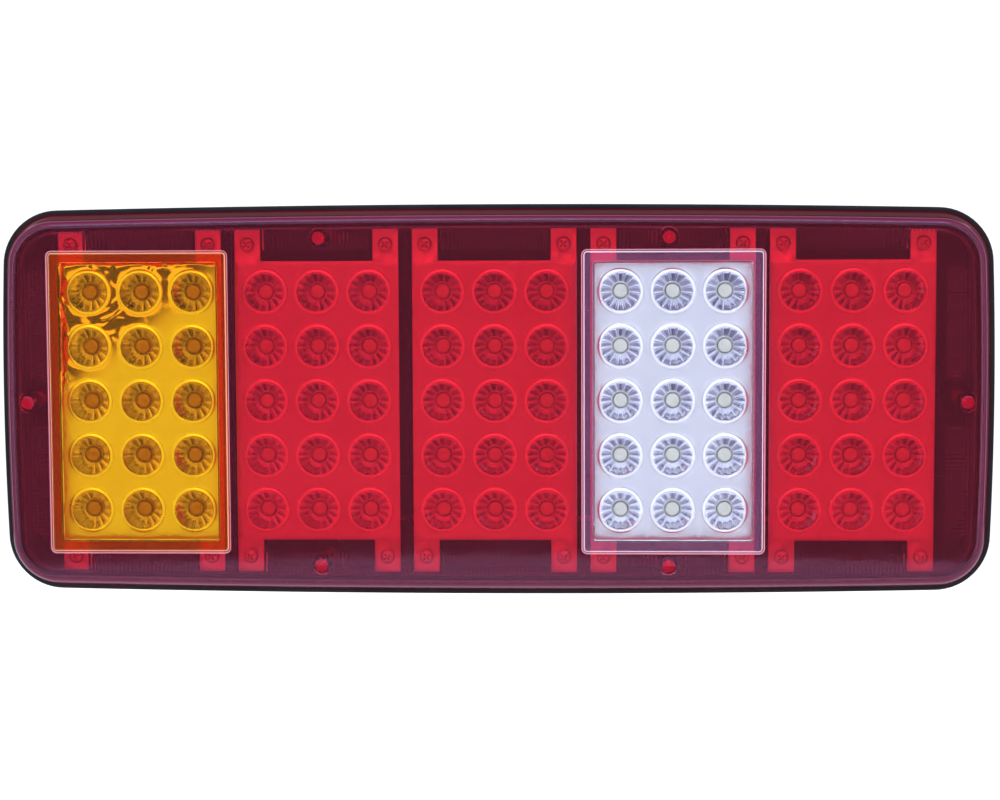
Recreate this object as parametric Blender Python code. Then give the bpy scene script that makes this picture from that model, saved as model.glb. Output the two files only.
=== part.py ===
"""Trailer tail light: a five-chamber LED rear lamp.

Metres, +Z up. The lens faces -Y. The origin is the centre of the flat band on the housing's back
that lies against the vehicle, and the two studs stand out of that band along +Y.
"""

import math

import bmesh
import bpy

MM = 0.001
GAP = 0.3 * MM                    # clearance between pieces that touch
OVERLAP = 1.0 * MM                # how far a joined shape or a cutter reaches past a surface

# Overall envelope, without the studs
WIDTH = 350 * MM
HEIGHT = 138 * MM
DEPTH = 34 * MM
CROWN_TOP = 1.6 * MM              # how far the long sides bow outwards
CROWN_SIDE = 0.9 * MM             # how far the short sides bow outwards
CORNER_RADIUS = 19.5 * MM
CORNER_STEPS = 5
LONG_STEPS = 4
SHORT_STEPS = 2

# Depth stations, measured along Y from the mounting face (more negative is nearer the viewer)
BACK_SKIN_Y = -2.0 * MM           # recessed outer face of the back wall
BACK_INNER_Y = -4.5 * MM
RIM_BACK_Y = -18.0 * MM
RIM_FRONT_Y = -21.0 * MM
LENS_BASE_Y = RIM_FRONT_Y - GAP
LENS_FRONT_Y = -DEPTH
LENS_SKIN = 2.6 * MM
LENS_INNER_Y = LENS_FRONT_Y + LENS_SKIN
PANEL_FRONT_Y = -26.8 * MM
PANEL_BACK_Y = -25.4 * MM
COLLAR_FRONT_Y = -28.0 * MM
CUP_BACK_Y = -18.6 * MM
BOARD_BACK_Y = -11.9 * MM
BOARD_FRONT_Y = -13.5 * MM
LED_TIP_Y = -24.2 * MM

# Insets of the tray and of the lens from the rim's outline
TRAY_INSET = 4.0 * MM
TRAY_WALL = 2.2 * MM
GROOVE_INSET = 1.9 * MM
GROOVE_WIDTH = 1.8 * MM
GROOVE_DEPTH = 1.5 * MM
LENS_BASE_INSET = 1.5 * MM
LENS_TOP_INSET = 3.2 * MM
LENS_EDGE_RADIUS = 3.0 * MM
LENS_INNER_RADIUS = 2.0 * MM
LENS_INNER_INSET = LENS_TOP_INSET + 2.2 * MM

# Chambers
CHAMBERS = 5
PITCH = 62.5 * MM
PANEL_W = 57.8 * MM
PANEL_H = 98.8 * MM
LED_PITCH_X = 18.3 * MM
LED_PITCH_Z = 19.27 * MM
LED_COLUMNS = 3
LED_ROWS = 5
COLLAR_RADIUS = 8.0 * MM
CUP_MOUTH_RADIUS = 6.9 * MM
CUP_HOLE_RADIUS = 3.1 * MM
CUP_SKIN = 1.1 * MM
CUP_SIDES = 8
LED_RADIUS = 2.5 * MM
LED_TIP_RADIUS = 1.1 * MM
LED_DOME = 2.0 * MM               # height of the lamp's domed end
LED_SIDES = 6
TAB_W = 9.2 * MM
TAB_LENGTH = 11.6 * MM
TAB_SCREW_Z = PANEL_H / 2 + 5.8 * MM
LEG_RADIUS = 1.8 * MM
POST_SIDES = 6
BOARD_W = 54 * MM
BOARD_H = 96 * MM

# Windows let into the red lens
WINDOW_CHAMBERS = {"amber_window": 0, "clear_window": 3}
WINDOW_W = 62.6 * MM
WINDOW_H = 105.4 * MM
WINDOW_STEP = 1.3 * MM
WINDOW_BODY_W = 55.6 * MM
WINDOW_BODY_H = 98.0 * MM
WINDOW_BACK_Y = LENS_FRONT_Y + 3.5 * MM

# Fasteners
POST_RADIUS = 3.2 * MM
POST_TOP_Y = PANEL_BACK_Y + GAP
PILOT_RADIUS = 1.5 * MM
TAB_SCREW_SHANK = 1.1 * MM
TAB_SCREW_HEAD = 2.5 * MM
TAB_SCREW_HEAD_T = 1.8 * MM
TAB_SCREW_LENGTH = 9.5 * MM
LENS_POST_X = 61 * MM
LENS_POST_Z = 57.5 * MM
LENS_END_POST_X = 164.3 * MM
LENS_POST_RADIUS = 3.0 * MM
LENS_POST_BACK_Y = -8.3 * MM
LENS_PILOT_RADIUS = 2.0 * MM
LENS_PILOT_END_Y = -18.5 * MM
SOCKET_RADIUS = 6.0 * MM
SOCKET_FRONT_Y = LENS_POST_BACK_Y + GAP
HEAD_SEAT_Y = -5.5 * MM
LENS_SCREW_HEAD = 3.6 * MM
LENS_SCREW_HEAD_T = 2.4 * MM
LENS_SCREW_SHANK = 1.7 * MM
LENS_SCREW_LENGTH = 11.5 * MM
LENS_POST_SIDES = 10
HEAD_CROWN = 0.7                  # a head's top radius as a share of its full radius
HEAD_RIM = 0.4                    # a head's straight side as a share of its height

# Back of the housing
BACK_CHAMFER = 1.0 * MM
BAND_W = 240 * MM
BAND_H = 44 * MM
STUD_X = 76 * MM
STUD_RADIUS = 3.0 * MM
STUD_END_Y = 22 * MM
STUD_HEAD_RADIUS = 5.77 * MM
STUD_HEAD_T = 3.5 * MM
STUD_CHAMFER = 0.8 * MM
STUD_SIDES = 16
NUT_BACK_Y = 6.5 * MM
NUT_T = 5.0 * MM
WASHER_RADIUS = 9.0 * MM
WASHER_T = 1.2 * MM
INLET_Z = -40 * MM
INLET_HOLE_RADIUS = 6.3 * MM
CABLE_BORE_RADIUS = 3.5 * MM
GROMMET_FLANGE_RADIUS = 8.5 * MM
GROMMET_FLANGE_T = 1.5 * MM
GROMMET_NOSE = 2.0 * MM           # how far its barbed inner end reaches into the housing
VENT_X = 100 * MM
VENT_HOLE_RADIUS = 3.0 * MM
VENT_CAP_RADIUS = 5.5 * MM
VENT_CAP_T = 1.3 * MM
VENT_STEM = 2.5 * MM              # how far its stem reaches into the housing
PLUG_SLACK = 0.2 * MM             # extra room round a rubber neck, whose sides are flat
ROUND_SIDES = 12

# Inside of the housing
FIN_T = 1.6 * MM
RIB_Z = 30 * MM
RIB_FRONT_Y = BOARD_BACK_Y + GAP
DIVIDER_FRONT_Y = -24.5 * MM
WIRE_RADIUS = 0.9 * MM
WIRE_Z = -44 * MM
WIRE_BEHIND_Y = -8.0 * MM
WIRE_START = 21 * MM              # from a board's centre to where its jumper is soldered
WIRE_STEPS = 8
NOTCH_H = 8 * MM
NOTCH_FRONT_Y = -11 * MM
TERMINAL_W = 18 * MM
TERMINAL_H = 9 * MM
TERMINAL_T = 5.2 * MM
TERMINAL_Z = -16 * MM


def clear_scene():
    for thing in list(bpy.data.objects):
        bpy.data.objects.remove(thing, do_unlink=True)


def plastic(name, colour, roughness, metallic=0.0, transmission=0.0):
    material = bpy.data.materials.new(name)
    material.use_nodes = True
    shader = material.node_tree.nodes["Principled BSDF"]
    shader.inputs["Base Color"].default_value = (*colour, 1.0)
    shader.inputs["Roughness"].default_value = roughness
    shader.inputs["Metallic"].default_value = metallic
    shader.inputs["Transmission Weight"].default_value = transmission
    material.diffuse_color = (*colour, 1.0)
    return material


def make_materials():
    return {
        "housing_black": plastic("housing_black", (0.012, 0.012, 0.015), 0.45),
        "seal_rubber": plastic("seal_rubber", (0.02, 0.02, 0.02), 0.8),
        "lens_red": plastic("lens_red", (0.62, 0.01, 0.02), 0.08, transmission=0.9),
        "window_amber": plastic("window_amber", (0.95, 0.42, 0.02), 0.06, transmission=0.9),
        "window_clear": plastic("window_clear", (0.92, 0.93, 0.95), 0.05, transmission=0.9),
        "reflector_chrome": plastic("reflector_chrome", (0.85, 0.86, 0.88), 0.12, metallic=1.0),
        "board_white": plastic("board_white", (0.75, 0.78, 0.75), 0.5),
        "screw_steel": plastic("screw_steel", (0.55, 0.56, 0.58), 0.35, metallic=1.0),
        "grommet_rubber": plastic("grommet_rubber", (0.02, 0.02, 0.02), 0.85),
        "wire_red": plastic("wire_red", (0.45, 0.03, 0.03), 0.5),
        "terminal_green": plastic("terminal_green", (0.05, 0.3, 0.12), 0.5),
    }


def add_object(name, mesh, material, location=(0, 0, 0)):
    if material is not None and not mesh.materials:
        mesh.materials.append(material)
    thing = bpy.data.objects.new(name, mesh)
    thing.location = location
    bpy.context.scene.collection.objects.link(thing)
    return thing


def mesh_from(bm, name):
    bmesh.ops.recalc_face_normals(bm, faces=bm.faces)
    mesh = bpy.data.meshes.new(name)
    bm.to_mesh(mesh)
    bm.free()
    return mesh


def smooth(mesh, degrees=35):
    mesh.shade_smooth()
    mesh.set_sharp_from_angle(angle=math.radians(degrees))


def outline(inset):
    """Points (x, z) of the lamp's crowned, round-cornered outline, moved inwards by inset."""
    half_w = WIDTH / 2 - inset
    half_h = HEIGHT / 2 - inset
    radius = CORNER_RADIUS - inset
    cx = half_w - CROWN_SIDE - radius
    cz = half_h - CROWN_TOP - radius
    quarter = []
    for step in range(SHORT_STEPS):
        z = cz * step / SHORT_STEPS
        quarter.append((half_w - CROWN_SIDE * (z / cz) ** 2, z))
    for step in range(CORNER_STEPS + 1):
        angle = math.pi / 2 * step / CORNER_STEPS
        quarter.append((cx + radius * math.cos(angle), cz + radius * math.sin(angle)))
    for step in range(1, LONG_STEPS + 1):
        x = cx * (1 - step / LONG_STEPS)
        quarter.append((x, half_h - CROWN_TOP * (x / cx) ** 2))
    upper = quarter + [(-x, z) for x, z in reversed(quarter[:-1])]
    return upper + [(x, -z) for x, z in reversed(upper[1:-1])]


def loft(name, stations):
    """A closed body through outlines given as (inset, y), capped at the first and the last."""
    bm = bmesh.new()
    loops = []
    for inset, y in stations:
        loops.append([bm.verts.new((x, y, z)) for x, z in outline(inset)])
    for near, far in zip(loops, loops[1:]):
        for i, vert in enumerate(near):
            j = (i + 1) % len(near)
            bm.faces.new((vert, near[j], far[j], far[i]))
    bm.faces.new(loops[0])
    bm.faces.new(list(reversed(loops[-1])))
    return mesh_from(bm, name)


def quarter_round(inset, y, radius, steps):
    """Stations that turn a side wall into a flat front, from (inset, y) to (inset + radius, y - radius)."""
    stations = []
    for step in range(steps + 1):
        angle = math.pi / 2 * step / steps
        stations.append((inset + radius * (1 - math.cos(angle)), y - radius * math.sin(angle)))
    return stations


def turned(bm, profile, sides, x=0.0, z=0.0, turn=0.0):
    """Adds a body turned about the Y axis at (x, z). Each profile point is (radius, y); the first and
    the last close with a flat cap, unless they meet, which makes a ring."""
    ring = profile[0] == profile[-1]
    points = profile[:-1] if ring else profile
    loops = []
    for radius, y in points:
        loop = []
        for side in range(sides):
            angle = 2 * math.pi * (side + turn) / sides
            loop.append(bm.verts.new((x + radius * math.cos(angle), y, z + radius * math.sin(angle))))
        loops.append(loop)
    pairs = list(zip(loops, loops[1:]))
    if ring:
        pairs.append((loops[-1], loops[0]))
    for near, far in pairs:
        for i, vert in enumerate(near):
            j = (i + 1) % sides
            bm.faces.new((vert, near[j], far[j], far[i]))
    if not ring:
        bm.faces.new(loops[0])
        bm.faces.new(list(reversed(loops[-1])))


def block(bm, x, y, z):
    """Adds a box from three (low, high) pairs."""
    corners = [bm.verts.new((px, py, pz)) for px in x for py in y for pz in z]
    for face in ((0, 1, 3, 2), (4, 6, 7, 5), (0, 4, 5, 1), (2, 3, 7, 6), (0, 2, 6, 4), (1, 5, 7, 3)):
        bm.faces.new([corners[i] for i in face])


def around(centre, size):
    return (centre - size / 2, centre + size / 2)


def boolean(target, tool_mesh, operation):
    """Joins a hidden tool's shape to the target, or cuts it away."""
    tool = add_object(f"{target.name}_{operation.lower()}_{len(target.modifiers)}", tool_mesh, None)
    tool.hide_render = True
    tool.display_type = "WIRE"
    modifier = target.modifiers.new(operation.lower(), "BOOLEAN")
    modifier.operation = operation
    modifier.solver = "EXACT"
    modifier.use_self = operation == "UNION"
    modifier.object = tool


def baked(target, name):
    """The target's shape with its modifiers worked in, as a mesh that several objects can share."""
    depsgraph = bpy.context.evaluated_depsgraph_get()
    mesh = bpy.data.meshes.new_from_object(target.evaluated_get(depsgraph))
    mesh.name = name
    for modifier in list(target.modifiers):
        bpy.data.objects.remove(modifier.object, do_unlink=True)
    bpy.data.objects.remove(target, do_unlink=True)
    return mesh


def chamber_x(index):
    return (index - (CHAMBERS - 1) / 2) * PITCH


def divider_places():
    return [chamber_x(index) + PITCH / 2 for index in range(CHAMBERS - 1)]


def led_places():
    places = []
    for row in range(LED_ROWS):
        for column in range(LED_COLUMNS):
            x = (column - (LED_COLUMNS - 1) / 2) * LED_PITCH_X
            z = ((LED_ROWS - 1) / 2 - row) * LED_PITCH_Z
            places.append((x, z))
    return places


def tab_places():
    x = PANEL_W / 2 - TAB_W / 2
    return [(sx * x, sz * TAB_SCREW_Z) for sz in (1, -1) for sx in (-1, 1)]


def lens_post_places():
    places = [(sx * LENS_POST_X, sz * LENS_POST_Z) for sz in (1, -1) for sx in (-1, 1)]
    return places + [(-LENS_END_POST_X, 0.0), (LENS_END_POST_X, 0.0)]


def build_housing(materials):
    groove_floor = RIM_FRONT_Y + GROOVE_DEPTH
    tray_inner = TRAY_INSET + TRAY_WALL
    mesh = loft("rear_housing", [
        (TRAY_INSET + BACK_CHAMFER, BACK_SKIN_Y),
        (TRAY_INSET, BACK_SKIN_Y - BACK_CHAMFER),
        (TRAY_INSET, RIM_BACK_Y),
        (0.0, RIM_BACK_Y),
        (0.0, RIM_FRONT_Y),
        (GROOVE_INSET, RIM_FRONT_Y),
        (GROOVE_INSET, groove_floor),
        (GROOVE_INSET + GROOVE_WIDTH, groove_floor),
        (GROOVE_INSET + GROOVE_WIDTH, RIM_FRONT_Y),
        (tray_inner, RIM_FRONT_Y),
        (tray_inner, BACK_INNER_Y),
    ])
    housing = add_object("rear_housing", mesh, materials["housing_black"])

    inside = BACK_INNER_Y + OVERLAP                # additions start inside the back wall
    outside = (OVERLAP, BACK_INNER_Y - OVERLAP)    # a cut through the back wall
    band = bmesh.new()
    block(band, around(0, BAND_W), (inside, 0.0), around(0, BAND_H))
    boolean(housing, mesh_from(band, "band"), "UNION")

    rib_length = WIDTH - 2 * TRAY_INSET - TRAY_WALL
    divider_height = HEIGHT - 2 * TRAY_INSET - 1.5 * TRAY_WALL
    ribs = bmesh.new()
    for z in (-RIB_Z, RIB_Z):
        block(ribs, around(0, rib_length), (RIB_FRONT_Y, inside), around(z, FIN_T))
    for x in divider_places():
        block(ribs, around(x, FIN_T), (DIVIDER_FRONT_Y, inside), around(0, divider_height))
    boolean(housing, mesh_from(ribs, "ribs"), "UNION")

    posts = bmesh.new()
    for index in range(CHAMBERS):
        for x, z in tab_places():
            post = [(POST_RADIUS, inside), (POST_RADIUS, POST_TOP_Y)]
            turned(posts, post, POST_SIDES, chamber_x(index) + x, z)
    for x, z in lens_post_places():
        turned(posts, [(SOCKET_RADIUS, inside), (SOCKET_RADIUS, SOCKET_FRONT_Y)], LENS_POST_SIDES, x, z)
    boolean(housing, mesh_from(posts, "posts"), "UNION")

    holes = bmesh.new()
    pilot = [(PILOT_RADIUS, POST_TOP_Y + TAB_SCREW_LENGTH), (PILOT_RADIUS, POST_TOP_Y - OVERLAP)]
    for index in range(CHAMBERS):
        for x, z in tab_places():
            turned(holes, pilot, POST_SIDES, chamber_x(index) + x, z)
    head_hole = LENS_SCREW_HEAD + 2 * GAP
    shank_hole = LENS_SCREW_SHANK + GAP + PLUG_SLACK
    for x, z in lens_post_places():
        turned(holes, [
            (head_hole, OVERLAP),
            (head_hole, HEAD_SEAT_Y),
            (shank_hole, HEAD_SEAT_Y),
            (shank_hole, SOCKET_FRONT_Y - OVERLAP),
        ], LENS_POST_SIDES, x, z)
    stud_hole = STUD_RADIUS + 2 * GAP
    for x, z, radius in (
        (-STUD_X, 0.0, stud_hole),
        (STUD_X, 0.0, stud_hole),
        (0.0, INLET_Z, INLET_HOLE_RADIUS),
        (VENT_X, INLET_Z, VENT_HOLE_RADIUS),
    ):
        turned(holes, [(radius, y) for y in outside], ROUND_SIDES, x, z)
    boolean(housing, mesh_from(holes, "holes"), "DIFFERENCE")

    notches = bmesh.new()
    for x in divider_places():
        depth = (NOTCH_FRONT_Y, BACK_INNER_Y - OVERLAP / 2)
        block(notches, around(x, 4 * FIN_T), depth, around(WIRE_Z, NOTCH_H))
    boolean(housing, mesh_from(notches, "notches"), "DIFFERENCE")


def build_seal(materials):
    outer = GROOVE_INSET + GAP
    inner = GROOVE_INSET + GROOVE_WIDTH - GAP
    floor = RIM_FRONT_Y + GROOVE_DEPTH - GAP
    bm = bmesh.new()
    loops = []
    for inset, y in ((outer, floor), (outer, RIM_FRONT_Y), (inner, RIM_FRONT_Y), (inner, floor)):
        loops.append([bm.verts.new((x, y, z)) for x, z in outline(inset)])
    for near, far in zip(loops, loops[1:] + loops[:1]):
        for i, vert in enumerate(near):
            j = (i + 1) % len(near)
            bm.faces.new((vert, near[j], far[j], far[i]))
    add_object("lens_seal", mesh_from(bm, "lens_seal"), materials["seal_rubber"])


def build_lens(materials):
    outer_turn = quarter_round(LENS_TOP_INSET, LENS_FRONT_Y + LENS_EDGE_RADIUS, LENS_EDGE_RADIUS, 3)
    inner_turn = quarter_round(LENS_INNER_INSET, LENS_INNER_Y + LENS_INNER_RADIUS, LENS_INNER_RADIUS, 2)
    stations = list(reversed(inner_turn))
    stations.append((LENS_BASE_INSET + LENS_SKIN, LENS_BASE_Y))
    stations.append((LENS_BASE_INSET, LENS_BASE_Y))
    stations += outer_turn
    mesh = loft("red_lens", stations)
    lens = add_object("red_lens", mesh, materials["lens_red"])

    posts = bmesh.new()
    post = [(LENS_POST_RADIUS, LENS_POST_BACK_Y), (LENS_POST_RADIUS, LENS_INNER_Y - OVERLAP)]
    for x, z in lens_post_places():
        turned(posts, post, LENS_POST_SIDES, x, z)
    boolean(lens, mesh_from(posts, "lens_posts"), "UNION")

    cuts = bmesh.new()
    pilot = [(LENS_PILOT_RADIUS, LENS_POST_BACK_Y + OVERLAP), (LENS_PILOT_RADIUS, LENS_PILOT_END_Y)]
    for x, z in lens_post_places():
        turned(cuts, pilot, LENS_POST_SIDES, x, z)
    through = (LENS_FRONT_Y - OVERLAP, LENS_INNER_Y + OVERLAP)
    for index in WINDOW_CHAMBERS.values():
        x = chamber_x(index)
        block(cuts, around(x, WINDOW_BODY_W + 2 * GAP), through, around(0, WINDOW_BODY_H + 2 * GAP))
    boolean(lens, mesh_from(cuts, "lens_cuts"), "DIFFERENCE")

    recesses = bmesh.new()
    step = (LENS_FRONT_Y - OVERLAP, LENS_FRONT_Y + WINDOW_STEP + GAP)
    for index in WINDOW_CHAMBERS.values():
        x = chamber_x(index)
        block(recesses, around(x, WINDOW_W + 2 * GAP), step, around(0, WINDOW_H + 2 * GAP))
    boolean(lens, mesh_from(recesses, "lens_recesses"), "DIFFERENCE")


def build_windows(materials):
    slots = {"amber_window": "window_amber", "clear_window": "window_clear"}
    for name, index in WINDOW_CHAMBERS.items():
        bm = bmesh.new()
        block(bm, around(0, WINDOW_W), (LENS_FRONT_Y, LENS_FRONT_Y + WINDOW_STEP), around(0, WINDOW_H))
        window = add_object(name, mesh_from(bm, name), materials[slots[name]], (chamber_x(index), 0, 0))
        bm = bmesh.new()
        body = (LENS_FRONT_Y + WINDOW_STEP / 2, WINDOW_BACK_Y)
        block(bm, around(0, WINDOW_BODY_W), body, around(0, WINDOW_BODY_H))
        boolean(window, mesh_from(bm, f"{name}_body"), "UNION")
        window.modifiers[0].object.location = window.location


def reflector_mesh(materials):
    bm = bmesh.new()
    block(bm, around(0, PANEL_W), (PANEL_FRONT_Y, PANEL_BACK_Y), around(0, PANEL_H))
    reflector = add_object("reflector", mesh_from(bm, "reflector"), materials["reflector_chrome"])

    tabs = bmesh.new()
    for x, z in tab_places():
        reach = math.copysign(PANEL_H / 2 + TAB_LENGTH / 2 - OVERLAP, z)
        block(tabs, around(x, TAB_W), (PANEL_FRONT_Y, PANEL_BACK_Y), around(reach, TAB_LENGTH + 2 * OVERLAP))
    boolean(reflector, mesh_from(tabs, "tabs"), "UNION")

    shells = bmesh.new()
    for x, z in led_places():
        turned(shells, [
            (COLLAR_RADIUS, COLLAR_FRONT_Y),
            (COLLAR_RADIUS, PANEL_BACK_Y),
            (CUP_HOLE_RADIUS + CUP_SKIN, CUP_BACK_Y),
        ], CUP_SIDES, x, z, 0.5)
    leg = [(LEG_RADIUS, (PANEL_FRONT_Y + PANEL_BACK_Y) / 2), (LEG_RADIUS, BOARD_FRONT_Y - GAP)]
    for sx in (-1, 1):
        for sz in (-1, 1):
            turned(shells, leg, POST_SIDES, sx * LED_PITCH_X / 2, sz * LED_PITCH_Z * 1.5)
    boolean(reflector, mesh_from(shells, "shells"), "UNION")

    hollows = bmesh.new()
    slope = (CUP_MOUTH_RADIUS - CUP_HOLE_RADIUS) / (CUP_BACK_Y - COLLAR_FRONT_Y)
    for x, z in led_places():
        turned(hollows, [
            (CUP_MOUTH_RADIUS + slope * OVERLAP, COLLAR_FRONT_Y - OVERLAP),
            (CUP_HOLE_RADIUS - slope * OVERLAP, CUP_BACK_Y + OVERLAP),
        ], CUP_SIDES, x, z, 0.5)
    screw_hole = [(PILOT_RADIUS, PANEL_FRONT_Y - OVERLAP), (PILOT_RADIUS, PANEL_BACK_Y + OVERLAP)]
    for x, z in tab_places():
        turned(hollows, screw_hole, POST_SIDES, x, z)
    boolean(reflector, mesh_from(hollows, "hollows"), "DIFFERENCE")
    mesh = baked(reflector, "reflector_shared")
    smooth(mesh, 50)
    return mesh


def board_mesh(materials):
    bm = bmesh.new()
    block(bm, around(0, BOARD_W), (BOARD_FRONT_Y, BOARD_BACK_Y), around(0, BOARD_H))
    board = add_object("board", mesh_from(bm, "board"), materials["board_white"])
    leds = bmesh.new()
    lamp = [
        (LED_RADIUS, (BOARD_FRONT_Y + BOARD_BACK_Y) / 2),
        (LED_RADIUS, LED_TIP_Y + LED_DOME),
        (LED_TIP_RADIUS, LED_TIP_Y),
    ]
    for x, z in led_places():
        turned(leds, lamp, LED_SIDES, x, z)
    boolean(board, mesh_from(leds, "leds"), "UNION")
    mesh = baked(board, "board_shared")
    smooth(mesh, 40)
    return mesh


def screw_mesh(name, head, height, shank, length, sides, front):
    """A pan-head screw whose head rests at y = 0. Front is -1 for a head at the -Y end, 1 at the +Y end."""
    bm = bmesh.new()
    turned(bm, [
        (head * HEAD_CROWN, front * height),
        (head, front * height * HEAD_RIM),
        (head, 0.0),
        (shank, 0.0),
        (shank, -front * length),
    ], sides)
    mesh = mesh_from(bm, name)
    smooth(mesh)
    return mesh


def build_chambers(materials):
    reflector = reflector_mesh(materials)
    board = board_mesh(materials)
    screw = screw_mesh("tab_screw_shared", TAB_SCREW_HEAD, TAB_SCREW_HEAD_T,
                       TAB_SCREW_SHANK, TAB_SCREW_LENGTH, POST_SIDES, -1)
    for index in range(CHAMBERS):
        number = index + 1
        x = chamber_x(index)
        add_object(f"reflector_{number}", reflector, materials["reflector_chrome"], (x, 0, 0))
        add_object(f"led_board_{number}", board, materials["board_white"], (x, 0, 0))
        for corner, (dx, dz) in zip(("top_left", "top_right", "low_left", "low_right"), tab_places()):
            place = (x + dx, PANEL_FRONT_Y - GAP, dz)
            add_object(f"reflector_screw_{number}_{corner}", screw, materials["screw_steel"], place)


def build_lens_screws(materials):
    mesh = screw_mesh("lens_screw_shared", LENS_SCREW_HEAD, LENS_SCREW_HEAD_T,
                      LENS_SCREW_SHANK, LENS_SCREW_LENGTH, LENS_POST_SIDES, 1)
    sides = ("top_left", "top_right", "low_left", "low_right", "end_left", "end_right")
    for side, (x, z) in zip(sides, lens_post_places()):
        place = (x, HEAD_SEAT_Y + GAP, z)
        add_object(f"lens_screw_{side}", mesh, materials["screw_steel"], place)


def build_studs(materials):
    steel = materials["screw_steel"]
    stud = bmesh.new()
    head_y = BACK_INNER_Y - GAP
    turned(stud, [(STUD_HEAD_RADIUS, head_y - STUD_HEAD_T), (STUD_HEAD_RADIUS, head_y)], 6)
    stud = mesh_from(stud, "stud_shared")
    shaft = bmesh.new()
    turned(shaft, [
        (STUD_RADIUS, head_y - STUD_HEAD_T / 2),
        (STUD_RADIUS, STUD_END_Y - STUD_CHAMFER),
        (STUD_RADIUS - STUD_CHAMFER, STUD_END_Y),
    ], STUD_SIDES)
    head = add_object("stud", stud, steel)
    boolean(head, mesh_from(shaft, "shaft"), "UNION")
    stud = baked(head, "stud_shared")
    smooth(stud)

    hole = STUD_RADIUS + GAP
    nut = bmesh.new()
    turned(nut, [(STUD_HEAD_RADIUS, 0.0), (STUD_HEAD_RADIUS, NUT_T)], 6)
    nut = add_object("nut", mesh_from(nut, "nut_shared"), steel)
    bore = bmesh.new()
    turned(bore, [(hole, -OVERLAP), (hole, NUT_T + OVERLAP)], STUD_SIDES)
    boolean(nut, mesh_from(bore, "nut_bore"), "DIFFERENCE")
    nut = baked(nut, "nut_shared")
    smooth(nut)

    washer = bmesh.new()
    turned(washer, [
        (WASHER_RADIUS, 0.0),
        (WASHER_RADIUS, WASHER_T),
        (hole, WASHER_T),
        (hole, 0.0),
        (WASHER_RADIUS, 0.0),
    ], STUD_SIDES)
    washer = mesh_from(washer, "washer_shared")
    smooth(washer)
    for side, x in (("left", -STUD_X), ("right", STUD_X)):
        add_object(f"mounting_stud_{side}", stud, steel, (x, 0, 0))
        add_object(f"stud_washer_{side}", washer, steel, (x, NUT_BACK_Y - GAP - WASHER_T, 0))
        add_object(f"stud_nut_{side}", nut, steel, (x, NUT_BACK_Y, 0))


def build_grommet(materials):
    neck = INLET_HOLE_RADIUS - GAP - PLUG_SLACK
    outer = BACK_SKIN_Y + GAP
    inner = BACK_INNER_Y - GAP
    barb_wall = (GROMMET_FLANGE_RADIUS - CABLE_BORE_RADIUS) / 4
    bm = bmesh.new()
    turned(bm, [
        (CABLE_BORE_RADIUS, outer + GROMMET_FLANGE_T),
        (GROMMET_FLANGE_RADIUS - OVERLAP, outer + GROMMET_FLANGE_T),
        (GROMMET_FLANGE_RADIUS, outer),
        (neck, outer),
        (neck, inner),
        (GROMMET_FLANGE_RADIUS - 2 * GAP, inner),
        (CABLE_BORE_RADIUS + barb_wall, inner - GROMMET_NOSE),
        (CABLE_BORE_RADIUS, inner - GROMMET_NOSE),
        (CABLE_BORE_RADIUS, outer + GROMMET_FLANGE_T),
    ], ROUND_SIDES)
    mesh = mesh_from(bm, "cable_grommet")
    smooth(mesh)
    add_object("cable_grommet", mesh, materials["grommet_rubber"], (0, 0, INLET_Z))


def build_vent(materials):
    outer = BACK_SKIN_Y + GAP
    stem = VENT_HOLE_RADIUS - GAP - PLUG_SLACK
    bm = bmesh.new()
    turned(bm, [
        (VENT_CAP_RADIUS - VENT_CAP_T / 2, outer + VENT_CAP_T),
        (VENT_CAP_RADIUS, outer + VENT_CAP_T / 2),
        (VENT_CAP_RADIUS, outer),
        (stem, outer),
        (stem, BACK_INNER_Y - VENT_STEM),
    ], ROUND_SIDES)
    mesh = mesh_from(bm, "breather_plug")
    smooth(mesh)
    add_object("breather_plug", mesh, materials["grommet_rubber"], (VENT_X, 0, INLET_Z))


def build_terminal_block(materials):
    back = BOARD_BACK_Y + GAP
    bm = bmesh.new()
    block(bm, around(0, TERMINAL_W), (back, back + TERMINAL_T), around(TERMINAL_Z, TERMINAL_H))
    add_object("terminal_block", mesh_from(bm, "terminal_block"), materials["terminal_green"])


def build_wires(materials):
    """Each jumper leaves one board's back, bends behind the divider and comes up to the next board."""
    solder_y = BOARD_BACK_Y + GAP
    span = PITCH - 2 * WIRE_START
    for index in range(CHAMBERS - 1):
        curve = bpy.data.curves.new(f"jumper_wire_{index + 1}", "CURVE")
        curve.dimensions = "3D"
        curve.bevel_depth = WIRE_RADIUS
        curve.bevel_resolution = 1
        curve.use_fill_caps = True
        spline = curve.splines.new("POLY")
        spline.points.add(WIRE_STEPS)
        start = chamber_x(index) + WIRE_START
        for step in range(WIRE_STEPS + 1):
            angle = math.pi * step / WIRE_STEPS
            x = start + span * (1 - math.cos(angle)) / 2
            y = solder_y + (WIRE_BEHIND_Y - solder_y) * math.sin(angle)
            spline.points[step].co = (x, y, WIRE_Z, 1.0)
        curve.materials.append(materials["wire_red"])
        wire = bpy.data.objects.new(curve.name, curve)
        bpy.context.scene.collection.objects.link(wire)


def main():
    clear_scene()
    materials = make_materials()
    build_housing(materials)
    build_seal(materials)
    build_lens(materials)
    build_windows(materials)
    build_chambers(materials)
    build_lens_screws(materials)
    build_studs(materials)
    build_grommet(materials)
    build_vent(materials)
    build_terminal_block(materials)
    build_wires(materials)


main()
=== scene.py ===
import math

import bmesh
import bpy
from mathutils import Matrix, Vector


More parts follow.
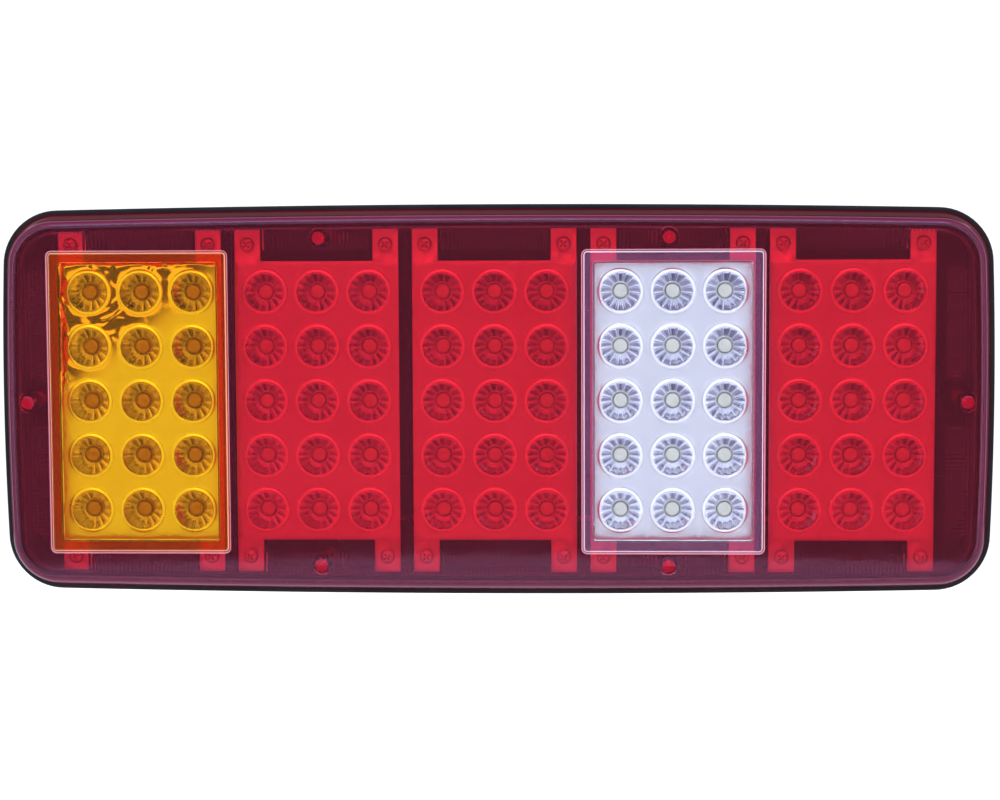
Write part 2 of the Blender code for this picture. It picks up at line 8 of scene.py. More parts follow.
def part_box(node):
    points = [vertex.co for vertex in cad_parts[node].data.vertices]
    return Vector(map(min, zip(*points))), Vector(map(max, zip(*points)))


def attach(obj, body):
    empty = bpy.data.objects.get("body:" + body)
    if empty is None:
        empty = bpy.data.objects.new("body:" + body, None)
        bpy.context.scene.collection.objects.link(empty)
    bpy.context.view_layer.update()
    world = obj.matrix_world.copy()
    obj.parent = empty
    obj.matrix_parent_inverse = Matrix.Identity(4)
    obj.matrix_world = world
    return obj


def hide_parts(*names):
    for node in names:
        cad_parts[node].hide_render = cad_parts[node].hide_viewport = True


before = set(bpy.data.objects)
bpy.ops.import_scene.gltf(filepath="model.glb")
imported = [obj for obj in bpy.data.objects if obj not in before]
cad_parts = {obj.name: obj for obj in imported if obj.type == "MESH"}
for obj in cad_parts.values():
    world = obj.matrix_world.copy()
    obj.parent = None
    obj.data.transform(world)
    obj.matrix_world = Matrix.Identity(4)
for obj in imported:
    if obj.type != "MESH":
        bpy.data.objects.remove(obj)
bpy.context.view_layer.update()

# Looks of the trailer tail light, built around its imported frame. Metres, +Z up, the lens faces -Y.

MM = 0.001

# ---------------------------------------------------------------- sizes read from the frame
rim_low, rim_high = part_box("rear_housing")
lens_low, lens_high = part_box("red_lens")
panel_low, panel_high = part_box("reflector_3")
board_low, board_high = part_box("led_board_3")
WIDTH = rim_high.x - rim_low.x
HEIGHT = rim_high.z - rim_low.z
CHAMBERS = 5
AMBER_CHAMBER = 0
CLEAR_CHAMBER = 3
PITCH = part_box("reflector_2")[0].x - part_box("reflector_1")[0].x
LENS_FRONT_Y = lens_low.y
RIM_FRONT_Y = rim_low.y
COLLAR_FRONT_Y = panel_low.y
BOARD_BACK_Y = board_high.y
LED_TIP_Y = board_low.y

# ---------------------------------------------------------------- sizes shared with the design
GAP = 0.3 * MM
CROWN_TOP = 1.6 * MM
CROWN_SIDE = 0.9 * MM
CORNER_RADIUS = 19.5 * MM
BACK_SKIN_Y = -2.0 * MM
BACK_INNER_Y = -4.5 * MM
RIM_BACK_Y = RIM_FRONT_Y + 3.0 * MM
LENS_BASE_Y = RIM_FRONT_Y - GAP
LENS_SKIN = 2.6 * MM
LENS_INNER_Y = LENS_FRONT_Y + LENS_SKIN
PANEL_FRONT_Y = COLLAR_FRONT_Y + 1.2 * MM
PANEL_BACK_Y = PANEL_FRONT_Y + 1.4 * MM
CUP_BACK_Y = PANEL_FRONT_Y + 8.2 * MM
BOARD_FRONT_Y = BOARD_BACK_Y - 1.6 * MM
TRAY_INSET = 4.0 * MM
TRAY_WALL = 2.2 * MM
GROOVE_INSET = 1.9 * MM
GROOVE_WIDTH = 1.8 * MM
GROOVE_DEPTH = 1.5 * MM
LENS_BASE_INSET = 1.5 * MM
LENS_TOP_INSET = 3.2 * MM
LENS_EDGE_RADIUS = 3.0 * MM
LENS_INNER_INSET = 5.6 * MM
LENS_INNER_RADIUS = 2.8 * MM
PANEL_W = panel_high.x - panel_low.x
PANEL_H = 98.8 * MM
TAB_REACH = panel_high.z
TAB_W = 9.2 * MM
TAB_SCREW_X = PANEL_W / 2 - TAB_W / 2
TAB_SCREW_Z = PANEL_H / 2 + 5.8 * MM
LED_PITCH_X = 18.3 * MM
LED_PITCH_Z = 19.27 * MM
LED_COLUMNS = 3
LED_ROWS = 5
LED_RADIUS = 2.5 * MM
COLLAR_RADIUS = 8.0 * MM
CUP_MOUTH_RADIUS = 6.9 * MM
CUP_HOLE_RADIUS = 3.1 * MM
CUP_SKIN = 1.1 * MM
LEG_RADIUS = 1.8 * MM
BOARD_W = board_high.x - board_low.x
BOARD_H = board_high.z - board_low.z
WINDOW_W = 62.6 * MM
WINDOW_H = 105.4 * MM
WINDOW_STEP = 1.3 * MM
WINDOW_BODY_W = 55.6 * MM
WINDOW_BODY_H = 98.0 * MM
WINDOW_BACK_Y = LENS_FRONT_Y + 3.5 * MM
POST_RADIUS = 3.2 * MM
POST_TOP_Y = PANEL_BACK_Y + GAP
PILOT_RADIUS = 1.5 * MM
TAB_SCREW_LENGTH = 9.5 * MM
LENS_POST_X = 61 * MM
LENS_POST_Z = 57.5 * MM
LENS_END_POST_X = 164.3 * MM
LENS_POST_RADIUS = 3.0 * MM
LENS_POST_BACK_Y = lens_high.y
LENS_PILOT_RADIUS = 2.0 * MM
LENS_PILOT_END_Y = -18.5 * MM
SOCKET_RADIUS = 6.0 * MM
SOCKET_FRONT_Y = LENS_POST_BACK_Y + GAP
HEAD_SEAT_Y = -5.5 * MM
LENS_SCREW_HEAD = 3.6 * MM
BAND_W = 240 * MM
BAND_H = 44 * MM
STUD_X = 76 * MM
STUD_RADIUS = 3.0 * MM
INLET_Z = -40 * MM
INLET_HOLE_RADIUS = 6.3 * MM
VENT_X = 100 * MM
VENT_HOLE_RADIUS = 3.0 * MM
FIN_T = 1.6 * MM
RIB_Z = 30 * MM
BACK_RIBS_X_MM = (-140, -112, -84, -30, 30, 84, 118, 140)
DIVIDER_FRONT_Y = -24.5 * MM
WIRE_RADIUS = 0.9 * MM
WIRE_Z = -44 * MM

# ---------------------------------------------------------------- surface detail
FLUTES = 14
CUP_SEGMENTS = FLUTES * 8
FLUTE_DEPTH = 0.26 * MM
CONE_RADIUS = 2.75 * MM
STRIP_PITCH = 1.42 * MM
STRIP_FROM_PANEL = 3.9 * MM
STRIP_FROM_RIM = 8.6 * MM
END_STRIP_X = 157 * MM
END_STRIP_NEAR_Z = 8 * MM         # the end strips leave room for the post between them
END_STRIP_FAR_Z = 47 * MM
WAVE_SCALE = 0.314159             # Blender's wave texture repeats once a metre at this scale
STRIP_RELIEF = 0.3 * MM
MARK_RADIUS = 2.5 * MM
MARK_DEPTH = 0.09 * MM
LED_DOME = 0.7 * MM


# ================================================================ mesh tools
def outline(inset, corner_steps=14, long_steps=16, short_steps=8):
    """Points (x, z) of the lamp's crowned, round-cornered outline, moved inwards by inset."""
    half_w = WIDTH / 2 - inset
    half_h = HEIGHT / 2 - inset
    radius = CORNER_RADIUS - inset
    cx = half_w - CROWN_SIDE - radius
    cz = half_h - CROWN_TOP - radius
    quarter = []
    for step in range(short_steps):
        z = cz * step / short_steps
        quarter.append((half_w - CROWN_SIDE * (z / cz) ** 2, z))
    for step in range(corner_steps + 1):
        angle = math.pi / 2 * step / corner_steps
        quarter.append((cx + radius * math.cos(angle), cz + radius * math.sin(angle)))
    for step in range(1, long_steps + 1):
        x = cx * (1 - step / long_steps)
        quarter.append((x, half_h - CROWN_TOP * (x / cx) ** 2))
    upper = quarter + [(-x, z) for x, z in reversed(quarter[:-1])]
    return upper + [(x, -z) for x, z in reversed(upper[1:-1])]


def circle(radius, sides, x=0.0, z=0.0, turn=0.0):
    points = []
    for side in range(sides):
        angle = 2 * math.pi * (side + turn) / sides
        points.append((x + radius * math.cos(angle), z + radius * math.sin(angle)))
    return points


def rounded_rect(half_w, half_h, radius, x=0.0, z=0.0, steps=5):
    points = []
    for quarter, (sx, sz) in enumerate(((1, 1), (-1, 1), (-1, -1), (1, -1))):
        for step in range(steps + 1):
            angle = math.pi / 2 * (quarter + step / steps)
            px = x + sx * (half_w - radius) + radius * math.cos(angle)
            pz = z + sz * (half_h - radius) + radius * math.sin(angle)
            points.append((px, pz))
    return points


def ring(bm, points, y):
    return [bm.verts.new((x, y, z)) for x, z in points]


def skin(bm, loops, closed=False, caps=True):
    """Joins loops of equal length with quads, and closes both ends or the ring."""
    pairs = list(zip(loops, loops[1:]))
    if closed:
        pairs.append((loops[-1], loops[0]))
    for near, far in pairs:
        for i, vert in enumerate(near):
            j = (i + 1) % len(near)
            bm.faces.new((vert, near[j], far[j], far[i]))
    if caps and not closed:
        bm.faces.new(loops[0])
        bm.faces.new(list(reversed(loops[-1])))


def turned(bm, profile, sides, x=0.0, z=0.0, turn=0.0):
    """A body turned about the Y axis at (x, z). A profile that ends where it began makes a ring."""
    closed = profile[0] == profile[-1]
    points = profile[:-1] if closed else profile
    skin(bm, [ring(bm, circle(radius, sides, x, z, turn), y) for radius, y in points], closed)


def block(bm, x, y, z):
    """A box from three (low, high) pairs."""
    corners = [bm.verts.new((px, py, pz)) for px in x for py in y for pz in z]
    for face in ((0, 1, 3, 2), (4, 6, 7, 5), (0, 4, 5, 1), (2, 3, 7, 6), (0, 2, 6, 4), (1, 5, 7, 3)):
        bm.faces.new([corners[i] for i in face])


def slab(bm, half_w, half_h, radius, stations, x=0.0, z=0.0):
    """A rounded rectangle lofted along Y. Each station is (inset, y)."""
    loops = []
    for inset, y in stations:
        corner = max(radius - inset, 0.05 * MM)
        loops.append(ring(bm, rounded_rect(half_w - inset, half_h - inset, corner, x, z), y))
    skin(bm, loops)


def around(centre, size):
    return (centre - size / 2, centre + size / 2)


def quarter_round(inset, y, radius, steps, front=-1):
    """Stations that turn a side wall at (inset, y) into a flat end, one radius in and one radius on."""
    stations = []
    for step in range(steps + 1):
        angle = math.pi / 2 * step / steps
        stations.append((inset + radius * (1 - math.cos(angle)), y + front * radius * math.sin(angle)))
    return stations


def mesh_from(bm, name):
    bmesh.ops.recalc_face_normals(bm, faces=bm.faces)
    mesh = bpy.data.meshes.new(name)
    bm.to_mesh(mesh)
    bm.free()
    return mesh


def combined(mesh, operations):
    """The mesh after a list of (operation, tool bmesh) steps."""
    scene = bpy.context.scene
    body = bpy.data.objects.new("work_body", mesh)
    scene.collection.objects.link(body)
    tools = []
    for number, (operation, tool_bm) in enumerate(operations):
        tool = bpy.data.objects.new(f"work_tool_{number}", mesh_from(tool_bm, f"work_tool_{number}"))
        scene.collection.objects.link(tool)
        tools.append(tool)
        modifier = body.modifiers.new(operation.lower(), "BOOLEAN")
        modifier.operation = operation
        modifier.solver = "EXACT"
        modifier.object = tool
    depsgraph = bpy.context.evaluated_depsgraph_get()
    result = bpy.data.meshes.new_from_object(body.evaluated_get(depsgraph))
    result.name = mesh.name
    for thing in [body] + tools:
        bpy.data.objects.remove(thing, do_unlink=True)
    return result


def repaint(mesh, number, test):
    """Gives one of the mesh's materials to the faces whose centre and normal pass the test."""
    for polygon in mesh.polygons:
        if test(polygon.center, polygon.normal):
            polygon.material_index = number


def shade(mesh, degrees=32):
    mesh.shade_smooth()
    mesh.set_sharp_from_angle(angle=math.radians(degrees))


def piece(name, mesh, materials, replaced=(), location=(0, 0, 0), flat_weight=True):
    """A finished piece: its mesh, materials, place, body and the frame nodes it stands for."""
    thing = bpy.data.objects.new(name, mesh)
    thing.location = location
    bpy.context.scene.collection.objects.link(thing)
    if not mesh.materials:
        for material in materials:
            mesh.materials.append(material)
    if flat_weight:
        modifier = thing.modifiers.new("flat_faces_stay_flat", "WEIGHTED_NORMAL")
        modifier.keep_sharp = True
        modifier.weight = 100
    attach(thing, "root")
    if replaced:
        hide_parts(*replaced)
    return thing


def chamber_x(index):
    return (index - (CHAMBERS - 1) / 2) * PITCH


def divider_places():
    return [chamber_x(index) + PITCH / 2 for index in range(CHAMBERS - 1)]


def led_places():
    places = []
    for row in range(LED_ROWS):
        for column in range(LED_COLUMNS):
            x = (column - (LED_COLUMNS - 1) / 2) * LED_PITCH_X
            z = ((LED_ROWS - 1) / 2 - row) * LED_PITCH_Z
            places.append((x, z))
    return places


def tab_places():
    return [(sx * TAB_SCREW_X, sz * TAB_SCREW_Z) for sz in (1, -1) for sx in (-1, 1)]


def lens_post_places():
    places = [(sx * LENS_POST_X, sz * LENS_POST_Z) for sz in (1, -1) for sx in (-1, 1)]
    return places + [(-LENS_END_POST_X, 0.0), (LENS_END_POST_X, 0.0)]


# ================================================================ materials
def add_node(tree, kind, inputs=(), **settings):
    """A new node in the tree, with its settings, and with each input either linked or set."""
    made = tree.nodes.new(kind)
    for setting, value in settings.items():
        setattr(made, setting, value)
    for socket, value in dict(inputs).items():
        if isinstance(value, bpy.types.NodeSocket):
            tree.links.new(value, made.inputs[socket])
        else:
            made.inputs[socket].default_value = value
    return made


class Paint:
    """A material being mixed: short ways to add nodes to its shader."""

    def __init__(self, name, **sockets):
        self.material = bpy.data.materials.new(name)
        self.material.use_nodes = True
        self.tree = self.material.node_tree
        self.shader = self.tree.nodes["Principled BSDF"]
        for socket, value in sockets.items():
            self.shader.inputs[socket.replace("_", " ")].default_value = value
        self.place = self.tree.nodes.new("ShaderNodeTexCoord").outputs["Object"]

    def node(self, kind, inputs=(), **settings):
        return add_node(self.tree, kind, inputs, **settings)

    def stretched(self, scale):
        return self.node("ShaderNodeMapping", {"Vector": self.place, "Scale": scale}).outputs["Vector"]

    def noise(self, size, detail=2.0, vector=None, distortion=0.0):
        """Cloudy noise whose features are about size across, from 0 to 1."""
        inputs = {
            "Scale": 1 / size, "Detail": detail, "Distortion": distortion, "Vector": vector or self.place
        }
        return self.node("ShaderNodeTexNoise", inputs).outputs["Fac"]

    def mapped(self, source, low, high, start=0.3, end=0.7):
        inputs = {"Value": source, "From Min": start, "From Max": end, "To Min": low, "To Max": high}
        return self.node("ShaderNodeMapRange", inputs).outputs["Result"]

    def blend(self, factor, first, second):
        made = self.node("ShaderNodeMix", {0: factor}, data_type="RGBA")
        for socket, value in ((6, first), (7, second)):
            if isinstance(value, bpy.types.NodeSocket):
                self.tree.links.new(value, made.inputs[socket])
            else:
                made.inputs[socket].default_value = (*value, 1.0)
        return made.outputs[2]

    def math(self, operation, first, second):
        return self.node("ShaderNodeMath", {0: first, 1: second}, operation=operation).outputs[0]

    def drive(self, socket, source):
        self.tree.links.new(source, self.shader.inputs[socket])

    def bump(self, height, strength, distance):
        made = self.node("ShaderNodeBump", {"Height": height, "Strength": strength, "Distance": distance})
        self.drive("Normal", made.outputs["Normal"])


def grained(name, colours, cloud, gloss, gloss_range, grain=None, **sockets):
    """A material whose colour and gloss drift a little, with a fine grain in its surface.

    Cloud and gloss are (feature size, detail). Grain is (feature size, detail, strength, height).
    """
    paint = Paint(name, **sockets)
    paint.drive("Base Color", paint.blend(paint.mapped(paint.noise(*cloud), 0, 1), *colours))
    paint.drive("Roughness", paint.mapped(paint.noise(*gloss), *gloss_range))
    if grain:
        size, detail, strength, height = grain
        paint.bump(paint.noise(size, detail), strength, height)
    return paint.material


def housing_material():
    colours = ((0.006, 0.006, 0.010), (0.013, 0.012, 0.018))
    grain = (0.35 * MM, 3.0, 0.25, 0.05 * MM)
    return grained("moulded_black", colours, (18 * MM, 4.0), (6 * MM, 5.0), (0.34, 0.5), grain,
                   Specular_IOR_Level=0.1)


def lens_material(name, light, dark, tint, clarity=1.0):
    """Moulded plastic, coloured through, with faint flow marks in its gloss. Clarity 0 is milky."""
    paint = Paint(name, Transmission_Weight=clarity, IOR=1.49, Specular_Tint=(*tint, 1.0))
    flow = paint.noise(22 * MM, 2.0, paint.stretched((0.35, 1.0, 1.0)))
    paint.drive("Base Color", paint.blend(paint.mapped(flow, 0, 1), light, dark))
    paint.drive("Roughness", paint.mapped(paint.noise(9 * MM, 4.0), 0.015, 0.05))
    paint.bump(paint.noise(7 * MM, 1.0), 0.12, 0.04 * MM)
    return paint.material


def wall_material():
    """The lens's side wall, painted nearly black red with little gloss: painted shade, for the dark seen
    edge-on through its whole depth.
    """
    paint = Paint("red_lens_wall_painted_shade", Specular_IOR_Level=0.03)
    flow = paint.noise(22 * MM, 2.0, paint.stretched((0.35, 1.0, 1.0)))
    paint.drive(
        "Base Color", paint.blend(paint.mapped(flow, 0, 1), (0.065, 0.002, 0.007), (0.048, 0.0015, 0.005))
    )
    paint.drive("Roughness", paint.mapped(paint.noise(9 * MM, 4.0), 0.08, 0.16))
    return paint.material


def fluted_material(name, light, dark, tint, clarity):
    """Lens plastic darkened in stripes between the fine upright flutes of the moulded strips: painted shade
    at the flutes' pitch.
    """
    paint = Paint(name, Transmission_Weight=clarity, IOR=1.49, Specular_Tint=(*tint, 1.0))
    waves = paint.node("ShaderNodeTexWave", {
        "Vector": paint.place,
        "Scale": WAVE_SCALE / STRIP_PITCH,
        "Distortion": 0.6,
        "Detail": 1.0,
        "Detail Scale": 2.0,
    }, bands_direction="X").outputs["Fac"]
    # painted shade: the colour darkens between the flutes
    paint.drive("Base Color", paint.blend(paint.mapped(waves, 0, 1, 0.1, 0.9), light, dark))
    paint.drive("Roughness", paint.mapped(paint.noise(9 * MM, 4.0), 0.03, 0.08))
    return paint.material


def reflector_material(name, smooth, rough, ripple, colour=(0.80, 0.82, 0.93)):
    colours = (colour, tuple(share * 1.05 for share in colour))
    grain = (1.2 * MM, 3.0, ripple, 0.05 * MM)
    return grained(name, colours, (14 * MM, 3.0), (3 * MM, 4.0), (smooth, rough), grain, Metallic=1.0)


def warped_panel_material():
    """Metallising that is satin over most of the panel, and a wavy mirror towards its upper left, whose
    colour there is darkened to mauve as painted reflection.
    """
    paint = Paint("warped_metallising_painted_reflection", Metallic=1.0)
    place = paint.node("ShaderNodeSeparateXYZ", {"Vector": paint.place})
    up = paint.math("MULTIPLY", place.outputs["Z"], 0.75 / (PANEL_H / 2))
    left = paint.math("MULTIPLY", place.outputs["X"], -0.35 / (PANEL_W / 2))
    corner = paint.mapped(paint.math("ADD", up, left), 0.0, 1.0, 0.26, 0.48)
    clouds = paint.noise(14 * MM, 3.0)
    satin = paint.blend(paint.mapped(clouds, 0, 1), (0.95, 0.93, 0.95), (0.98, 0.97, 0.99))
    # painted reflection: the corner's metal is darkened to mauve
    paint.drive("Base Color", paint.blend(corner, satin, (0.86, 0.60, 0.78)))
    paint.drive("Roughness", paint.mapped(corner, 0.53, 0.07, 0.0, 1.0))
    waves = paint.math("MULTIPLY", paint.noise(11 * MM, 1.5, distortion=1.2), corner)
    paint.bump(waves, 1.0, 0.8 * MM)
    return paint.material


def board_material():
    colours = ((0.70, 0.73, 0.70), (0.80, 0.82, 0.80))
    grain = (0.5 * MM, 3.0, 0.2, 0.03 * MM)
    return grained("solder_mask_white", colours, (8 * MM, 3.0), (2 * MM, 2.0), (0.35, 0.5), grain)


def led_material(name, dark, light):
    return grained(name, (dark, light), (1.5 * MM, 2.0), (0.8 * MM, 3.0), (0.12, 0.3),
                   Transmission_Weight=0.08, IOR=1.5)


def steel_material(name, colour, shift, smooth, rough):
    grain = (0.25 * MM, 2.0, 0.2, 0.02 * MM)
    return grained(name, (colour, shift), (2.5 * MM, 4.0), (0.9 * MM, 4.0), (smooth, rough), grain,
                   Metallic=1.0)


def rubber_material(name):
    colours = ((0.012, 0.012, 0.012), (0.03, 0.03, 0.031))
    grain = (0.3 * MM, 4.0, 0.4, 0.04 * MM)
    return grained(name, colours, (3 * MM, 4.0), (1.5 * MM, 3.0), (0.62, 0.85), grain,
                   Specular_IOR_Level=0.35)


def coloured_plastic(name, dark, light):
    grain = (0.4 * MM, 3.0, 0.2, 0.03 * MM)
    return grained(name, (dark, light), (4 * MM, 3.0), (1.5 * MM, 3.0), (0.35, 0.55), grain)


def make_materials():
    violet = (0.72, 0.5, 1.0)
    rose = (0.9, 0.85, 1.0)
    return {
        "housing": housing_material(),
        "red": lens_material("red_lens_plastic", (0.93, 0.130, 0.175), (0.90, 0.115, 0.160), violet, 0.965),
        "red_frost": lens_material(
            "red_frosted_mark", (0.93, 0.02, 0.05), (0.88, 0.015, 0.04), violet, 0.70
        ),
        # the red ledge under the clear window: frosted, and tinted mauve as painted light
        "painted_light_mauve_ledge": lens_material(
            "frosted_ledge_painted_mauve_light", (0.96, 0.30, 0.62), (0.90, 0.25, 0.56), violet, 0.76
        ),
        "red_ledge": lens_material(
            "frosted_ledge_red", (0.96, 0.02, 0.05), (0.90, 0.015, 0.04), violet, 0.62
        ),
        # painted highlight: the recess edges around the windows are milky and lightened to pink
        "red_edge": lens_material("red_lens_edge_highlight", (1.0, 0.42, 0.52), (0.95, 0.36, 0.47), rose, 0.45),
        # painted shade: the lens's side faces are dark, mostly opaque red in place of the dark seen through
        # the edge
        "red_side": lens_material(
            "red_lens_side_painted_shade", (0.13, 0.008, 0.026), (0.11, 0.006, 0.022), violet, 0.25
        ),
        "red_wall": wall_material(),
        "red_flutes": fluted_material(
            "red_lens_flutes", (1.0, 0.16, 0.21), (0.58, 0.07, 0.11), violet, 0.95
        ),
        "amber": lens_material(
            "amber_lens_plastic", (0.99, 0.72, 0.085), (0.98, 0.69, 0.07), (0.95, 0.8, 0.7), 0.985
        ),
        # painted highlight: the amber window's edge faces are milky and lightened
        "amber_edge": lens_material("amber_lens_edge_highlight", (1.0, 0.55, 0.30), (0.98, 0.48, 0.25), rose, 0.4),
        "clear": lens_material("clear_lens_plastic", (0.97, 0.98, 1.0), (0.96, 0.97, 1.0), rose),
        # painted highlight: the clear window's edge faces are milky and lightened
        "clear_edge": lens_material("clear_lens_edge_highlight", (0.96, 0.9, 0.97), (0.9, 0.82, 0.92), rose, 0.35),
        "panel": reflector_material("satin_metallising", 0.46, 0.60, 0.25),
        "warped_panel": warped_panel_material(),
        "cup": reflector_material("bright_metallising", 0.06, 0.14, 0.1, (0.72, 0.73, 0.83)),
        # painted shade: the amber chamber's cups are darker, violet-tinted metal for the dark inside them
        "amber_cup": reflector_material("amber_cup_shaded_metallising", 0.06, 0.14, 0.1, (0.66, 0.55, 0.82)),
        "collar": reflector_material("collar_metallising", 0.26, 0.36, 0.1, (0.82, 0.83, 0.88)),
        "board": board_material(),
        "led": led_material("led_epoxy", (0.86, 0.90, 0.82), (0.95, 0.97, 0.92)),
        "amber_led": led_material("amber_led_epoxy", (0.52, 0.22, 0.10), (0.62, 0.28, 0.13)),
        "steel": steel_material("zinc_plated_steel", (0.62, 0.63, 0.65), (0.56, 0.55, 0.50), 0.22, 0.42),
        "tab_steel": steel_material("satin_steel", (0.80, 0.80, 0.84), (0.72, 0.72, 0.76), 0.42, 0.6),
        "rubber": rubber_material("soft_rubber"),
        "seal": rubber_material("seal_foam"),
        "wire": coloured_plastic("wire_insulation", (0.38, 0.02, 0.02), (0.50, 0.04, 0.035)),
        "terminal": coloured_plastic("terminal_plastic", (0.03, 0.22, 0.09), (0.05, 0.32, 0.13)),
    }


# ================================================================ housing and seal
def lofted(name, stations):
    bm = bmesh.new()
    skin(bm, [ring(bm, outline(inset), y) for inset, y in stations])
    return mesh_from(bm, name)


def build_housing(materials):
    groove_floor = RIM_FRONT_Y + GROOVE_DEPTH
    groove_end = GROOVE_INSET + GROOVE_WIDTH
    tray_inner = TRAY_INSET + TRAY_WALL
    stations = [(TRAY_INSET + 1.6 * MM, BACK_SKIN_Y)]
    stations += list(reversed(quarter_round(TRAY_INSET, BACK_SKIN_Y - 1.2 * MM, 1.2 * MM, 4, 1)))
    stations += [
        (TRAY_INSET, RIM_BACK_Y + 0.8 * MM),
        (TRAY_INSET - 0.25 * MM, RIM_BACK_Y + 0.25 * MM),
        (TRAY_INSET - 0.8 * MM, RIM_BACK_Y),
        (0.9 * MM, RIM_BACK_Y),
    ]
    stations += list(reversed(quarter_round(0.0, RIM_BACK_Y - 0.6 * MM, 0.6 * MM, 3, 1)))
    stations += quarter_round(0.0, RIM_FRONT_Y + 0.8 * MM, 0.8 * MM, 4)
    stations += [
        (GROOVE_INSET, RIM_FRONT_Y),
        (GROOVE_INSET, groove_floor),
        (groove_end, groove_floor),
        (groove_end, RIM_FRONT_Y),
        (tray_inner - 0.3 * MM, RIM_FRONT_Y),
        (tray_inner, RIM_FRONT_Y + 0.3 * MM),
        (tray_inner, BACK_INNER_Y - 0.8 * MM),
        (tray_inner + 0.25 * MM, BACK_INNER_Y - 0.25 * MM),
        (tray_inner + 0.8 * MM, BACK_INNER_Y),
        (tray_inner + 1.2 * MM, BACK_INNER_Y),
    ]
    inside = BACK_INNER_Y + 1 * MM
    additions = bmesh.new()
    band = [(0.0, inside), (0.0, -0.5 * MM)]
    band += quarter_round(0.0, -0.5 * MM, 0.5 * MM, 3, 1)
    band.append((0.9 * MM, 0.0))
    slab(additions, BAND_W / 2, BAND_H / 2, 3 * MM, band)

    ribs = bmesh.new()
    for z in (-RIB_Z, RIB_Z):
        block(
            ribs,
            around(0, WIDTH - 2 * TRAY_INSET - TRAY_WALL),
            (BOARD_BACK_Y + GAP, inside),
            around(z, FIN_T),
        )
    dividers = bmesh.new()
    for x in divider_places():
        block(
            dividers,
            around(x, FIN_T),
            (DIVIDER_FRONT_Y, inside),
            around(0, HEIGHT - 2 * TRAY_INSET - 1.5 * TRAY_WALL),
        )

    back_ribs = bmesh.new()
    for x in BACK_RIBS_X_MM:
        for side in (-1, 1):
            height = HEIGHT / 2 - TRAY_INSET - BAND_H / 2 - 3.4 * MM
            centre = side * (BAND_H / 2 + height / 2 - 0.5 * MM)
            rib = [
                (0.0, BACK_SKIN_Y - 0.5 * MM),
                (0.0, BACK_SKIN_Y + 0.7 * MM),
                (0.35 * MM, BACK_SKIN_Y + 1.1 * MM),
            ]
            slab(back_ribs, 0.8 * MM, height / 2, 0.7 * MM, rib, x * MM, centre)

    posts = bmesh.new()
    for index in range(CHAMBERS):
        for x, z in tab_places():
            post = [
                (POST_RADIUS + 0.5 * MM, inside),
                (POST_RADIUS, BACK_INNER_Y - 2 * MM),
                (POST_RADIUS, POST_TOP_Y),
            ]
            turned(posts, post, 24, chamber_x(index) + x, z)
    for x, z in lens_post_places():
        turned(posts, [(SOCKET_RADIUS, inside), (SOCKET_RADIUS, SOCKET_FRONT_Y)], 36, x, z)

    holes = bmesh.new()
    for index in range(CHAMBERS):
        for x, z in tab_places():
            profile = [(PILOT_RADIUS, POST_TOP_Y + TAB_SCREW_LENGTH), (PILOT_RADIUS, POST_TOP_Y - 1 * MM)]
            turned(holes, profile, 20, chamber_x(index) + x, z)
    head_hole = LENS_SCREW_HEAD + 2 * GAP
    for x, z in lens_post_places():
        turned(holes, [
            (head_hole + 1.4 * MM, BACK_SKIN_Y + 1 * MM),
            (head_hole, BACK_SKIN_Y - 0.4 * MM),
            (head_hole, HEAD_SEAT_Y),
            (2.2 * MM, HEAD_SEAT_Y),
            (2.2 * MM, SOCKET_FRONT_Y - 1 * MM),
        ], 36, x, z)
    through = (1 * MM, BACK_INNER_Y - 1 * MM)
    for x in (-STUD_X, STUD_X):
        turned(holes, [(STUD_RADIUS + 2 * GAP, y) for y in through], 32, x, 0.0)
    turned(holes, [(INLET_HOLE_RADIUS, y) for y in through], 40, 0.0, INLET_Z)
    turned(holes, [(VENT_HOLE_RADIUS, y) for y in through], 32, VENT_X, INLET_Z)

    notches = bmesh.new()
    for x in divider_places():
        slot_depth = (-11 * MM, BACK_INNER_Y - 0.5 * MM)
        block(notches, around(x, 4 * FIN_T), slot_depth, around(WIRE_Z, 8 * MM))

    mesh = combined(lofted("rear_housing_fine", stations), [
        ("UNION", additions), ("UNION", ribs), ("UNION", dividers), ("UNION", back_ribs), ("UNION", posts),
        ("DIFFERENCE", holes), ("DIFFERENCE", notches),
    ])
    shade(mesh)
    piece("rear_housing_fine", mesh, [materials["housing"]], ["rear_housing"])


def build_seal(materials):
    outer = GROOVE_INSET + GAP
    inner = GROOVE_INSET + GROOVE_WIDTH - GAP
    middle = (outer + inner) / 2
    half = (inner - outer) / 2
    floor = RIM_FRONT_Y + GROOVE_DEPTH - GAP
    section = [(inner, floor), (outer, floor)]
    for step in range(7):
        angle = math.pi * step / 6
        section.append((middle - half * math.cos(angle), RIM_FRONT_Y + half - half * math.sin(angle)))
    bm = bmesh.new()
    skin(bm, [ring(bm, outline(inset), y) for inset, y in section], closed=True)
    mesh = mesh_from(bm, "lens_seal_fine")
    shade(mesh)
    piece("lens_seal_fine", mesh, [materials["seal"]], ["lens_seal"])


